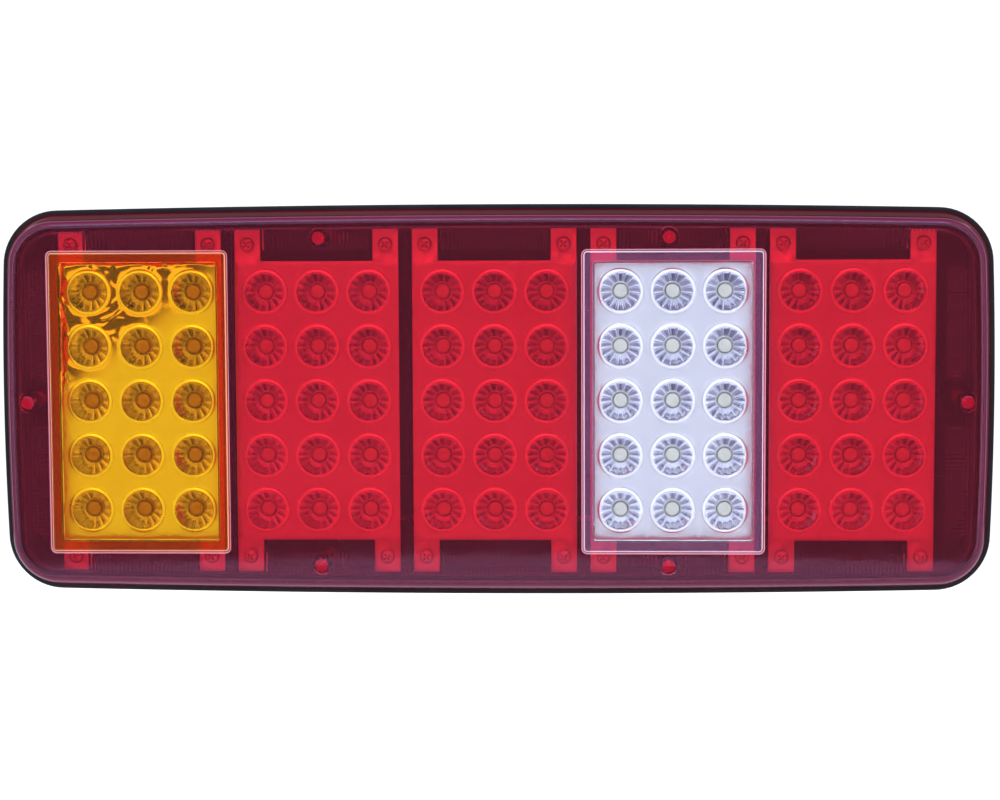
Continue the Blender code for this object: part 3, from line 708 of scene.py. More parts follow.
# ================================================================ lens and windows
def fluted_bar(bm, x_range, z_range, along_x=True):
    """A bar of fine rounded flutes on the lens's inner face. The flutes repeat along X, or else along Z."""
    (x0, x1), (z0, z1) = x_range, z_range
    start, end = (x0, x1) if along_x else (z0, z1)
    per_flute = 6
    count = round((end - start) / STRIP_PITCH) * per_flute
    corners = []
    for step in range(count + 1):
        place = start + (end - start) * step / count
        crest = 0.5 - 0.5 * math.cos(2 * math.pi * step / per_flute)
        inner = LENS_INNER_Y + 0.05 * MM + STRIP_RELIEF * crest
        buried = LENS_INNER_Y - 0.4 * MM
        if along_x:
            points = [(place, buried, z0), (place, inner, z0), (place, inner, z1), (place, buried, z1)]
        else:
            points = [(x0, buried, place), (x0, inner, place), (x1, inner, place), (x1, buried, place)]
        corners.append([bm.verts.new(point) for point in points])
    skin(bm, corners)


LENS_FINISHES = (
    "red", "red_frost", "red_edge", "red_ledge", "painted_light_mauve_ledge", "red_side", "red_flutes", "red_wall",
)


def build_lens(materials):
    inner_turn = quarter_round(LENS_INNER_INSET, LENS_INNER_Y + LENS_INNER_RADIUS, LENS_INNER_RADIUS, 6)
    stations = [(LENS_INNER_INSET + LENS_INNER_RADIUS + 0.4 * MM, LENS_INNER_Y)]
    stations += list(reversed(inner_turn))
    stations += [
        (LENS_BASE_INSET + LENS_SKIN, LENS_BASE_Y),
        (LENS_BASE_INSET + 0.25 * MM, LENS_BASE_Y),
        (LENS_BASE_INSET, LENS_BASE_Y - 0.25 * MM),
    ]
    stations += quarter_round(LENS_TOP_INSET, LENS_FRONT_Y + LENS_EDGE_RADIUS, LENS_EDGE_RADIUS, 9)
    stations.append((LENS_TOP_INSET + LENS_EDGE_RADIUS + 0.4 * MM, LENS_FRONT_Y))

    bars = bmesh.new()
    half_strip = TAB_SCREW_X - TAB_W / 2 - 0.6 * MM
    for side in (1, -1):
        strip = sorted((side * (PANEL_H / 2 + STRIP_FROM_PANEL), side * (HEIGHT / 2 - STRIP_FROM_RIM)))
        for index in range(CHAMBERS):
            fluted_bar(bars, (chamber_x(index) - half_strip, chamber_x(index) + half_strip), strip)
        end_strip = sorted((side * END_STRIP_X, side * (WIDTH / 2 - STRIP_FROM_RIM)))
        fluted_bar(bars, end_strip, (-END_STRIP_FAR_Z, -END_STRIP_NEAR_Z), along_x=False)
        fluted_bar(bars, end_strip, (END_STRIP_NEAR_Z, END_STRIP_FAR_Z), along_x=False)

    posts = bmesh.new()
    for x, z in lens_post_places():
        turned(posts, [
            (LENS_POST_RADIUS, LENS_POST_BACK_Y),
            (LENS_POST_RADIUS, LENS_INNER_Y + 1.2 * MM),
            (LENS_POST_RADIUS + 0.25 * MM, LENS_INNER_Y + 0.5 * MM),
            (LENS_POST_RADIUS + 0.9 * MM, LENS_INNER_Y - 0.2 * MM),
            (LENS_POST_RADIUS + 0.9 * MM, LENS_INNER_Y - 1 * MM),
        ], 40, x, z)

    cuts = bmesh.new()
    marks = bmesh.new()
    for x, z in lens_post_places():
        profile = [
            (LENS_PILOT_RADIUS, LENS_POST_BACK_Y + 1 * MM),
            (LENS_PILOT_RADIUS, LENS_PILOT_END_Y + 1 * MM),
            (LENS_PILOT_RADIUS * 0.4, LENS_PILOT_END_Y),
        ]
        turned(cuts, profile, 28, x, z)
        mark = [(0.3 * MM, LENS_FRONT_Y + MARK_DEPTH)]
        for share in (0.4, 0.7, 0.9, 1.0):
            mark.append((MARK_RADIUS * share, LENS_FRONT_Y + MARK_DEPTH * (1 - share ** 2)))
        mark.append((MARK_RADIUS + 0.1 * MM, LENS_FRONT_Y - 0.5 * MM))
        turned(marks, mark, 32, x, z)
    recesses = bmesh.new()
    for index in (AMBER_CHAMBER, CLEAR_CHAMBER):
        x = chamber_x(index)
        opening = [(0.0, LENS_INNER_Y + 1 * MM), (0.0, LENS_FRONT_Y - 1 * MM)]
        slab(cuts, WINDOW_BODY_W / 2 + GAP, WINDOW_BODY_H / 2 + GAP, 1.2 * MM, opening, x)
        mouth = 0.6 * MM
        recess = [(0.0, LENS_FRONT_Y + WINDOW_STEP + GAP), (0.0, LENS_FRONT_Y + mouth)]
        for step in range(1, 5):
            angle = math.pi / 2 * step / 4
            recess.append((-mouth * (1 - math.cos(angle)), LENS_FRONT_Y + mouth * (1 - math.sin(angle))))
        recess.append((-mouth, LENS_FRONT_Y - 1 * MM))
        slab(recesses, WINDOW_W / 2 + GAP, WINDOW_H / 2 + GAP, 1.6 * MM, recess, x)

    mesh = combined(lofted("red_lens_fine", stations), [
        ("UNION", bars), ("UNION", posts),
        ("DIFFERENCE", cuts), ("DIFFERENCE", recesses), ("DIFFERENCE", marks),
    ])
    shade(mesh, 38)
    for name in LENS_FINISHES:
        mesh.materials.append(materials[name])

    def on_mark(centre, normal):
        near = min(math.hypot(centre.x - x, centre.z - z) for x, z in lens_post_places())
        return near < MARK_RADIUS and 0.1 * MARK_DEPTH < centre.y - LENS_FRONT_Y < 2 * MARK_DEPTH

    def on_side(centre, normal):
        reach = LENS_TOP_INSET + LENS_EDGE_RADIUS
        beyond_x = abs(centre.x) > WIDTH / 2 - CROWN_SIDE - reach
        beyond_z = abs(centre.z) > HEIGHT / 2 - CROWN_TOP - reach
        corner_x = abs(centre.x) - (WIDTH / 2 - CORNER_RADIUS)
        corner_z = abs(centre.z) - (HEIGHT / 2 - CORNER_RADIUS)
        from_corner = math.hypot(corner_x, corner_z)
        in_corner = min(corner_x, corner_z) > 0 and from_corner > CORNER_RADIUS - CROWN_TOP - reach
        facing_out = normal.x * centre.x + normal.z * centre.z > 0
        return (beyond_x or beyond_z or in_corner) and facing_out and abs(normal.y) < 0.95

    def on_flutes(centre, normal):
        return normal.y > 0.5 and centre.y > LENS_INNER_Y + 0.03 * MM and centre.y < LENS_INNER_Y + 0.4 * MM

    def by_window(index, reach):
        def test(centre, normal):
            across = abs(centre.x - chamber_x(index)) - WINDOW_W / 2
            along = abs(centre.z) - WINDOW_H / 2
            return max(across, along) < reach and centre.y < LENS_FRONT_Y + 2 * MM
        return test

    def finish(name, test):
        repaint(mesh, LENS_FINISHES.index(name), test)

    finish("red_flutes", on_flutes)
    # painted shade: the side faces and the steep side wall get dark red in place of the seen-through edge
    finish("red_side", on_side)
    finish("red_wall", lambda centre, normal: on_side(centre, normal) and abs(normal.y) < 0.45)
    finish("red_frost", on_mark)
    ledge_y = LENS_FRONT_Y + 1.4 * MM
    # the ledge under the clear window takes the mauve painted light; the one under the amber window stays
    # frosted red
    for index, ledge in ((AMBER_CHAMBER, "red_ledge"), (CLEAR_CHAMBER, "painted_light_mauve_ledge")):
        near_window = by_window(index, 1 * MM)
        # painted highlight: the recess edge faces take the lightened, milky edge finish
        finish("red_edge", lambda centre, normal: near_window(centre, normal) and normal.y > -0.97)
        finish(ledge, lambda centre, normal: near_window(centre, normal) and centre.y > ledge_y)
    piece("red_lens_fine", mesh, [], ["red_lens"])


def build_windows(materials):
    for name, index in (("amber", AMBER_CHAMBER), ("clear", CLEAR_CHAMBER)):
        body_round = 0.4 * MM
        edge_round = 0.65 * MM
        flange_back = LENS_FRONT_Y + WINDOW_STEP
        body_inset = (WINDOW_W - WINDOW_BODY_W) / 2
        bm = bmesh.new()
        loops = []
        for half_w, half_h, corner, y in (
            (
                WINDOW_BODY_W / 2 - 3 * body_round,
                WINDOW_BODY_H / 2 - 3 * body_round,
                0.4 * MM,
                WINDOW_BACK_Y,
            ),
            (WINDOW_BODY_W / 2 - body_round, WINDOW_BODY_H / 2 - body_round, 0.7 * MM, WINDOW_BACK_Y),
            (WINDOW_BODY_W / 2, WINDOW_BODY_H / 2, 1.0 * MM, WINDOW_BACK_Y - body_round),
            (WINDOW_BODY_W / 2, WINDOW_BODY_H / 2, 1.0 * MM, flange_back),
            (WINDOW_W / 2 - 0.15 * MM, WINDOW_H / 2 - 0.15 * MM, 1.2 * MM, flange_back),
            (WINDOW_W / 2, WINDOW_H / 2, 1.3 * MM, flange_back - 0.15 * MM),
        ):
            loops.append(ring(bm, rounded_rect(half_w, half_h, corner), y))
        for inset, y in quarter_round(0.0, LENS_FRONT_Y + edge_round, edge_round, 4):
            loops.append(
                ring(bm, rounded_rect(WINDOW_W / 2 - inset, WINDOW_H / 2 - inset, 1.3 * MM - inset), y)
            )
        edge = edge_round + 0.3 * MM
        loops.append(
            ring(bm, rounded_rect(WINDOW_W / 2 - edge, WINDOW_H / 2 - edge, 0.6 * MM), LENS_FRONT_Y)
        )
        skin(bm, loops)
        mesh = mesh_from(bm, f"{name}_window_fine")
        shade(mesh, 38)
        mesh.materials.append(materials[name])
        mesh.materials.append(materials[f"{name}_edge"])
        # painted highlight: the flange's edge faces take the lightened, milky edge finish
        repaint(mesh, 1, lambda centre, normal: centre.y < flange_back - 0.1 * MM and abs(normal.y) < 0.97)
        place = (chamber_x(index), 0, 0)
        piece(f"{name}_window_fine", mesh, [], [f"{name}_window"], place)


# ================================================================ reflectors
def cell_boundary(column, row, margin_x, margin_z):
    """The cell's edge as CUP_SEGMENTS points, spaced evenly along each side from corner to corner."""
    half_x = LED_PITCH_X / 2
    half_z = LED_PITCH_Z / 2
    left = -half_x - (margin_x if column == 0 else 0)
    right = half_x + (margin_x if column == LED_COLUMNS - 1 else 0)
    high = half_z + (margin_z if row == 0 else 0)
    low = -half_z - (margin_z if row == LED_ROWS - 1 else 0)
    corners = [(right, high), (left, high), (left, low), (right, low)]
    per_side = CUP_SEGMENTS // 4
    points = [None] * CUP_SEGMENTS
    for side in range(4):
        (x0, z0), (x1, z1) = corners[side], corners[(side + 1) % 4]
        for step in range(per_side):
            share = step / per_side
            number = (per_side // 2 + side * per_side + step) % CUP_SEGMENTS
            points[number] = (x0 + (x1 - x0) * share, z0 + (z1 - z0) * share)
    return points


def flute(i, depth):
    """How far a scalloped cup wall stands back at point i of the ring."""
    phase = (i % 8) / 8
    return depth * (1 - (2 * phase - 1) ** 2)


def cup_rings(x, z, boundary):
    """Rings of points from the panel's front edge over the collar, down the cup and back to the edge."""
    count = CUP_SEGMENTS
    turn = [2 * math.pi * i / count for i in range(count)]
    rings = []

    def round_ring(radius, y, depth=0.0):
        ring_points = []
        for i, angle in enumerate(turn):
            r = radius + flute(i, depth)
            ring_points.append((x + r * math.cos(angle), y, z + r * math.sin(angle)))
        rings.append(ring_points)

    def flat_ring(share, y):
        foot = COLLAR_RADIUS + 0.15 * MM
        ring_points = []
        for angle, (bx, bz) in zip(turn, boundary):
            rx = foot * math.cos(angle)
            rz = foot * math.sin(angle)
            ring_points.append((x + bx * share + rx * (1 - share), y, z + bz * share + rz * (1 - share)))
        rings.append(ring_points)

    flat_ring(1.0, PANEL_FRONT_Y)
    flat_ring(0.5, PANEL_FRONT_Y)
    round_ring(COLLAR_RADIUS + 0.15 * MM, PANEL_FRONT_Y)
    round_ring(COLLAR_RADIUS + 0.04 * MM, PANEL_FRONT_Y - 0.04 * MM)
    round_ring(COLLAR_RADIUS - 0.02 * MM, PANEL_FRONT_Y - 0.15 * MM)
    round_ring(COLLAR_RADIUS - 0.05 * MM, COLLAR_FRONT_Y + 0.38 * MM)
    round_ring(COLLAR_RADIUS - 0.09 * MM, COLLAR_FRONT_Y + 0.28 * MM)
    round_ring(COLLAR_RADIUS - 0.18 * MM, COLLAR_FRONT_Y + 0.21 * MM)
    crest = CUP_MOUTH_RADIUS + 0.16 * MM
    round_ring(crest + 0.08 * MM, COLLAR_FRONT_Y + 0.015 * MM)
    round_ring(crest, COLLAR_FRONT_Y)
    round_ring(crest - 0.08 * MM, COLLAR_FRONT_Y + 0.05 * MM)
    top = COLLAR_FRONT_Y + 0.22 * MM
    cone_floor = top + CUP_MOUTH_RADIUS - CONE_RADIUS
    round_ring(CUP_MOUTH_RADIUS, top)
    for step in range(1, 13):
        share = step / 12
        radius = CUP_MOUTH_RADIUS + (CONE_RADIUS - CUP_MOUTH_RADIUS) * share
        round_ring(
            radius,
            top + (cone_floor - top) * share,
            FLUTE_DEPTH * min(1.0, 5 * share) * radius / CUP_MOUTH_RADIUS,
        )
    round_ring(CONE_RADIUS - 0.04 * MM, cone_floor + 0.12 * MM)
    round_ring(CUP_HOLE_RADIUS, cone_floor + 0.9 * MM)
    round_ring(CUP_HOLE_RADIUS, CUP_BACK_Y)
    round_ring(CUP_HOLE_RADIUS + CUP_SKIN - 0.2 * MM, CUP_BACK_Y)
    round_ring(CUP_HOLE_RADIUS + CUP_SKIN, CUP_BACK_Y - 0.2 * MM)
    round_ring(COLLAR_RADIUS - 0.1 * MM, PANEL_BACK_Y + 0.15 * MM)
    round_ring(COLLAR_RADIUS + 0.1 * MM, PANEL_BACK_Y)
    flat_ring(1.0, PANEL_BACK_Y)
    return rings


def reflector_mesh(materials):
    edge = 0.25 * MM
    margin_x = PANEL_W / 2 - LED_COLUMNS * LED_PITCH_X / 2 - edge
    margin_z = PANEL_H / 2 - LED_ROWS * LED_PITCH_Z / 2 - edge
    bm = bmesh.new()
    for place, (x, z) in enumerate(led_places()):
        row, column = divmod(place, LED_COLUMNS)
        boundary = cell_boundary(column, row, margin_x, margin_z)
        loops = [[bm.verts.new(point) for point in points] for points in cup_rings(x, z, boundary)]
        skin(bm, loops, caps=False)
    bmesh.ops.remove_doubles(bm, verts=bm.verts, dist=0.01 * MM)
    rims = [e for e in bm.edges if e.is_boundary and e.verts[0].co.y < (PANEL_FRONT_Y + PANEL_BACK_Y) / 2]
    grown = bmesh.ops.extrude_edge_only(bm, edges=rims)["geom"]
    for vert in [g for g in grown if isinstance(g, bmesh.types.BMVert)]:
        if abs(vert.co.x) > PANEL_W / 2 - 1.5 * edge:
            vert.co.x += math.copysign(edge, vert.co.x)
        if abs(vert.co.z) > PANEL_H / 2 - 1.5 * edge:
            vert.co.z += math.copysign(edge, vert.co.z)
        vert.co.y += edge
    open_edges = [e for e in bm.edges if e.is_boundary]
    bmesh.ops.bridge_loops(bm, edges=open_edges)
    mesh = mesh_from(bm, "reflector_fine")

    tabs = bmesh.new()
    legs = bmesh.new()
    holes = bmesh.new()
    tab_front = PANEL_FRONT_Y + 0.2 * MM
    tab_back = PANEL_BACK_Y - 0.1 * MM
    for x, z in tab_places():
        side = math.copysign(1, z)
        inner = PANEL_H / 2 - 2 * MM
        centre = side * (TAB_REACH + inner) / 2
        half_h = (TAB_REACH - inner) / 2
        stations = [
            (0.0, tab_back),
            (0.0, tab_front + 0.25 * MM),
            (0.08 * MM, tab_front + 0.08 * MM),
            (0.25 * MM, tab_front),
        ]
        slab(tabs, TAB_W / 2 - 0.02 * MM, half_h, 0.8 * MM, stations, x, centre)
        turned(
            holes, [(PILOT_RADIUS, PANEL_FRONT_Y - 1 * MM), (PILOT_RADIUS, PANEL_BACK_Y + 1 * MM)], 24, x, z
        )
    for sx in (-1, 1):
        for sz in (-1, 1):
            leg = [(LEG_RADIUS, PANEL_BACK_Y - 0.7 * MM), (LEG_RADIUS * 0.8, BOARD_FRONT_Y - GAP)]
            turned(legs, leg, 20, sx * LED_PITCH_X / 2, sz * LED_PITCH_Z * 1.5)
    mesh = combined(mesh, [("UNION", tabs), ("UNION", legs), ("DIFFERENCE", holes)])
    mesh.materials.clear()
    mesh.materials.append(materials["panel"])
    mesh.materials.append(materials["cup"])
    mesh.materials.append(materials["collar"])
    mesh.materials.append(materials["panel"])
    for polygon in mesh.polygons:
        x, y, z = polygon.center
        near = min((x - lx) ** 2 + (z - lz) ** 2 for lx, lz in led_places())
        within_mouth = near < (CUP_MOUTH_RADIUS + 0.05 * MM) ** 2
        in_cup = within_mouth and COLLAR_FRONT_Y < y < CUP_BACK_Y - 0.01 * MM
        facing_back = polygon.normal.y > 0.2
        polygon.material_index = 1 if in_cup and not facing_back else 0
    repaint(mesh, 2, lambda centre, normal: centre.y < COLLAR_FRONT_Y + 0.3 * MM and normal.y < -0.7)
    repaint(mesh, 3, lambda centre, normal: abs(centre.z) > PANEL_H / 2)
    shade(mesh, 50)
    return mesh


def build_reflectors(materials):
    mesh = reflector_mesh(materials)
    warped_mesh = mesh.copy()
    warped_mesh.materials[0] = materials["warped_panel"]
    # the amber chamber's cups take the darker metal with painted shade
    warped_mesh.materials[1] = materials["amber_cup"]
    for index in range(CHAMBERS):
        name = f"reflector_{index + 1}"
        body = warped_mesh if index == AMBER_CHAMBER else mesh
        piece(
            f"{name}_fine",
            body,
            [],
            [name],
            (chamber_x(index), 0, 0),
            flat_weight=False,
        )


# ================================================================ boards and lamps
def build_boards(materials):
    board = bmesh.new()
    stations = [
        (0.1 * MM, BOARD_BACK_Y),
        (0.0, BOARD_BACK_Y - 0.1 * MM),
        (0.0, BOARD_FRONT_Y + 0.1 * MM),
        (0.1 * MM, BOARD_FRONT_Y),
    ]
    slab(board, BOARD_W / 2, BOARD_H / 2, 1.0 * MM, stations)
    board_mesh = mesh_from(board, "led_board_fine")
    shade(board_mesh)

    lamps = bmesh.new()
    for x, z in led_places():
        profile = [
            (LED_RADIUS * 0.98, BOARD_FRONT_Y - 0.05 * MM),
            (LED_RADIUS + 0.35 * MM, BOARD_FRONT_Y - 0.1 * MM),
            (LED_RADIUS + 0.35 * MM, BOARD_FRONT_Y - 0.9 * MM),
            (LED_RADIUS, BOARD_FRONT_Y - 1.0 * MM),
        ]
        for step in range(9):
            angle = math.pi / 2 * step / 9
            profile.append((LED_RADIUS * math.cos(angle), LED_TIP_Y + LED_DOME * (1 - math.sin(angle))))
        profile.append((0.2 * MM, LED_TIP_Y + 0.008 * MM))
        turned(lamps, profile, 28, x, z)
    lamp_mesh = mesh_from(lamps, "led_lamps_fine")
    shade(lamp_mesh, 40)
    amber_lamp_mesh = lamp_mesh.copy()
    for index in range(CHAMBERS):
        name = f"led_board_{index + 1}"
        place = (chamber_x(index), 0, 0)
        piece(f"{name}_fine", board_mesh, [materials["board"]], [name], place)
        amber = index == AMBER_CHAMBER
        lamp, epoxy = (amber_lamp_mesh, "amber_led") if amber else (lamp_mesh, "led")
        piece(
            f"led_lamps_{index + 1}", lamp, [materials[epoxy]], (), place, flat_weight=False
        )


# ================================================================ fasteners
def cross_cutter(bm, reach, width, y_out, y_in):
    """A slanting cross-shaped recess that narrows towards its floor."""
    loops = []
    for share, y in ((1.0, y_out), (1.0, (y_out + y_in) / 2), (0.6, y_in)):
        points = []
        for quarter in range(4):
            turn = math.pi / 2 * quarter + math.radians(40)
            for px, pz in ((reach, -width), (reach, width), (width, width)):
                x = px * math.cos(turn) - pz * math.sin(turn)
                z = px * math.sin(turn) + pz * math.cos(turn)
                points.append((x * share, z * share))
        loops.append(ring(bm, points, y))
    skin(bm, loops)


def pan_head(name, head_radius, height, shank, length, front, thread_pitch):
    """A pan-head screw with a cross recess. Front is -1 for a head towards -Y, and 1 towards +Y."""
    profile = [(0.3 * MM, front * height)]
    for step in range(1, 9):
        angle = math.pi / 2 * step / 8
        profile.append((head_radius * math.sin(angle), front * height * (0.35 + 0.65 * math.cos(angle))))
    profile += [(head_radius, front * 0.15 * MM), (head_radius - 0.15 * MM, 0.0), (shank, 0.0)]
    turns = int(length / thread_pitch * 2)
    for step in range(1, turns):
        radius = shank * (0.8 if step % 2 else 1.0)
        profile.append((radius, -front * length * step / turns))
    profile.append((shank * 0.3, -front * length))
    bm = bmesh.new()
    turned(bm, profile, 32)
    recess = bmesh.new()
    reach = head_radius * 0.58
    cross_cutter(recess, reach, head_radius * 0.13, front * (height + 0.5 * MM), front * height * 0.3)
    mesh = combined(mesh_from(bm, name), [("DIFFERENCE", recess)])
    shade(mesh)
    return mesh


def build_reflector_screws(materials):
    mesh = pan_head("reflector_screw_fine", 2.5 * MM, 1.8 * MM, 1.1 * MM, TAB_SCREW_LENGTH, -1, 1.0 * MM)
    sides = ("top_left", "top_right", "low_left", "low_right")
    for index in range(CHAMBERS):
        for side, (x, z) in zip(sides, tab_places()):
            name = f"reflector_screw_{index + 1}_{side}"
            place = (chamber_x(index) + x, PANEL_FRONT_Y - GAP, z)
            piece(f"{name}_fine", mesh, [materials["tab_steel"]], [name], place)


def build_lens_screws(materials):
    mesh = pan_head("lens_screw_fine", LENS_SCREW_HEAD, 2.4 * MM, 1.7 * MM, 11.5 * MM, 1, 1.25 * MM)
    sides = ("top_left", "top_right", "low_left", "low_right", "end_left", "end_right")
    for side, (x, z) in zip(sides, lens_post_places()):
        name = f"lens_screw_{side}"
        place = (x, HEAD_SEAT_Y + GAP, z)
        piece(f"{name}_fine", mesh, [materials["steel"]], [name], place)


def threaded(bm, radius, depth, pitch, start, end, sides=28, per_turn=8):
    """A rod with a helical thread, its ends closed and chamfered."""
    steps = round((end - start) / pitch * per_turn)
    loops = []
    for step in range(steps + 1):
        y = start + (end - start) * step / steps
        taper = min(1.0, (end - y) / (0.9 * MM), (y - start) / (0.3 * MM) + 0.2)
        points = []
        for side in range(sides):
            phase = (y / pitch + side / sides) % 1.0
            crest = 1 - abs(2 * phase - 1)
            r = (radius - depth) + depth * min(1.0, crest * 1.25) * max(taper, 0.0)
            if taper < 1:
                r = min(r, radius - depth * 1.2 * (1 - taper))
            angle = 2 * math.pi * side / sides
            points.append((r * math.cos(angle), r * math.sin(angle)))
        loops.append(ring(bm, points, y))
    skin(bm, loops)


def hexagon(bm, radius, y_low, y_high, chamfer=0.6 * MM):
    """A hexagonal nut or head whose corners are turned down at both ends, as the shape two solids share."""
    turned(bm, [(radius, y_low), (radius, y_high)], 6)
    cone = bmesh.new()
    inner = radius * math.cos(math.pi / 6) * 0.98
    turned(cone, [
        (inner, y_low - 0.01 * MM),
        (radius + 0.02 * MM, y_low + chamfer),
        (radius + 0.02 * MM, y_high - chamfer),
        (inner, y_high + 0.01 * MM),
    ], 48)
    return cone


def build_studs(materials):
    steel = materials["steel"]
    stud_low, stud_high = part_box("mounting_stud_left")
    nut_low, nut_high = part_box("stud_nut_left")
    washer_low, washer_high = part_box("stud_washer_left")
    head_y = BACK_INNER_Y - GAP
    hex_radius = (nut_high.x - nut_low.x) / 2
    head = bmesh.new()
    cone = hexagon(head, hex_radius, stud_low.y, head_y)
    head_mesh = combined(mesh_from(head, "mounting_stud_fine"), [("INTERSECT", cone)])
    rod = bmesh.new()
    threaded(rod, STUD_RADIUS, 0.42 * MM, 1.0 * MM, head_y - 1 * MM, stud_high.y)
    stud_mesh = combined(head_mesh, [("UNION", rod)])
    shade(stud_mesh, 50)

    nut = bmesh.new()
    cone = hexagon(nut, hex_radius, nut_low.y, nut_high.y)
    bore = bmesh.new()
    hole = STUD_RADIUS + 0.12 * MM
    turned(bore, [
        (hole + 1.3 * MM, nut_low.y - 1 * MM),
        (hole, nut_low.y + 0.4 * MM),
        (hole, nut_high.y - 0.4 * MM),
        (hole + 1.3 * MM, nut_high.y + 1 * MM),
    ], 40)
    nut_mesh = combined(mesh_from(nut, "stud_nut_fine"), [("INTERSECT", cone), ("DIFFERENCE", bore)])
    shade(nut_mesh)

    outer = (washer_high.x - washer_low.x) / 2
    edge = 0.12 * MM
    washer = bmesh.new()
    turned(washer, [
        (outer - edge, washer_low.y), (outer, washer_low.y + edge),
        (outer, washer_high.y - edge), (outer - edge, washer_high.y),
        (hole + edge, washer_high.y), (hole, washer_high.y - edge),
        (hole, washer_low.y + edge), (hole + edge, washer_low.y),
        (outer - edge, washer_low.y),
    ], 64)
    washer_mesh = mesh_from(washer, "stud_washer_fine")
    shade(washer_mesh)
    for side, x in (("left", -STUD_X), ("right", STUD_X)):
        for name, mesh in (
            ("mounting_stud", stud_mesh), ("stud_nut", nut_mesh), ("stud_washer", washer_mesh)
        ):
            piece(f"{name}_{side}_fine", mesh, [steel], [f"{name}_{side}"], (x, 0, 0))


# ================================================================ back fittings and inside
def build_grommet(materials):
    low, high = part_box("cable_grommet")
    radius = (high.x - low.x) / 2
    bore = 3.5 * MM
    neck = INLET_HOLE_RADIUS - 0.35 * MM
    flange_y = BACK_SKIN_Y + GAP
    inner_y = BACK_INNER_Y - GAP
    profile = [
        (bore, high.y - 0.3 * MM),
        (bore + 0.3 * MM, high.y),
        (bore + 1.2 * MM, high.y),
        (bore + 1.5 * MM, high.y - 0.35 * MM),
    ]
    lip_round = 1.2 * MM
    lip_height = high.y - 0.35 * MM - flange_y
    for step in range(6):
        angle = math.pi / 2 * step / 5
        across = radius - lip_round + lip_round * math.sin(angle)
        profile.append((across, flange_y + lip_height * math.cos(angle)))
    profile += [
        (neck + 0.3 * MM, flange_y),
        (neck, flange_y - 0.3 * MM),
        (neck, inner_y + 0.2 * MM),
        (neck + 0.2 * MM, inner_y),
        (radius - 0.6 * MM, inner_y),
        (radius - 0.9 * MM, inner_y - 0.4 * MM),
        (bore + 1.6 * MM, low.y + 0.2 * MM),
        (bore + 1.2 * MM, low.y),
        (bore + 0.2 * MM, low.y),
        (bore, low.y + 0.2 * MM),
        (bore, high.y - 0.3 * MM),
    ]
    bm = bmesh.new()
    turned(bm, profile, 56, 0.0, INLET_Z)
    mesh = mesh_from(bm, "cable_grommet_fine")
    shade(mesh, 40)
    piece("cable_grommet_fine", mesh, [materials["rubber"]], ["cable_grommet"])


def build_vent(materials):
    low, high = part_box("breather_plug")
    radius = (high.x - low.x) / 2
    stem = VENT_HOLE_RADIUS - 0.35 * MM
    outer = BACK_SKIN_Y + GAP
    bm = bmesh.new()
    turned(bm, [
        (0.6 * MM, high.y),
        (radius - 1.0 * MM, high.y),
        (radius - 0.4 * MM, high.y - 0.12 * MM),
        (radius - 0.1 * MM, high.y - 0.4 * MM),
        (radius, high.y - 0.7 * MM),
        (radius, outer + 0.1 * MM),
        (radius - 0.1 * MM, outer),
        (stem, outer),
        (stem, BACK_INNER_Y - 0.4 * MM),
        (stem + 0.5 * MM, BACK_INNER_Y - 0.7 * MM),
        (stem - 0.2 * MM, low.y + 0.2 * MM),
        (stem - 0.5 * MM, low.y),
    ], 40, VENT_X, INLET_Z)
    slots = bmesh.new()
    for step in range(12):
        angle = math.pi * step / 6
        x = VENT_X + (radius + 0.1 * MM) * math.cos(angle)
        z = INLET_Z + (radius + 0.1 * MM) * math.sin(angle)
        turned(slots, [(0.45 * MM, outer - 1 * MM), (0.45 * MM, high.y + 1 * MM)], 12, x, z)
    mesh = combined(mesh_from(bm, "breather_plug_fine"), [("DIFFERENCE", slots)])
    shade(mesh, 40)
    piece("breather_plug_fine", mesh, [materials["rubber"]], ["breather_plug"])


def build_wires(materials):
    """Jumpers from board to board, each one arched wire."""
    up = Vector((0, 0, 1))
    for index in range(CHAMBERS - 1):
        name = f"jumper_wire_{index + 1}"
        low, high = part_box(name)
        start = low.x + WIRE_RADIUS
        span = high.x - low.x - 2 * WIRE_RADIUS
        reach = high.y - WIRE_RADIUS
        bm = bmesh.new()
        loops = []
        steps = 28
        for step in range(steps + 1):
            angle = math.pi * step / steps
            x = start + span * (1 - math.cos(angle)) / 2
            centre = Vector((x, low.y + (reach - low.y) * math.sin(angle), WIRE_Z))
            tangent = Vector((span * math.sin(angle) / 2, (reach - low.y) * math.cos(angle), 0))
            if tangent.length < 1e-9:
                tangent = Vector((0, 1, 0))
            side = tangent.normalized().cross(up)
            loop = []
            for corner in range(14):
                turn = 2 * math.pi * corner / 14
                outward = side * math.cos(turn) + up * math.sin(turn)
                loop.append(bm.verts.new(centre + WIRE_RADIUS * outward))
            loops.append(loop)
        skin(bm, loops)
        mesh = mesh_from(bm, f"{name}_fine")
        shade(mesh, 50)
        piece(f"{name}_fine", mesh, [materials["wire"]], [name])


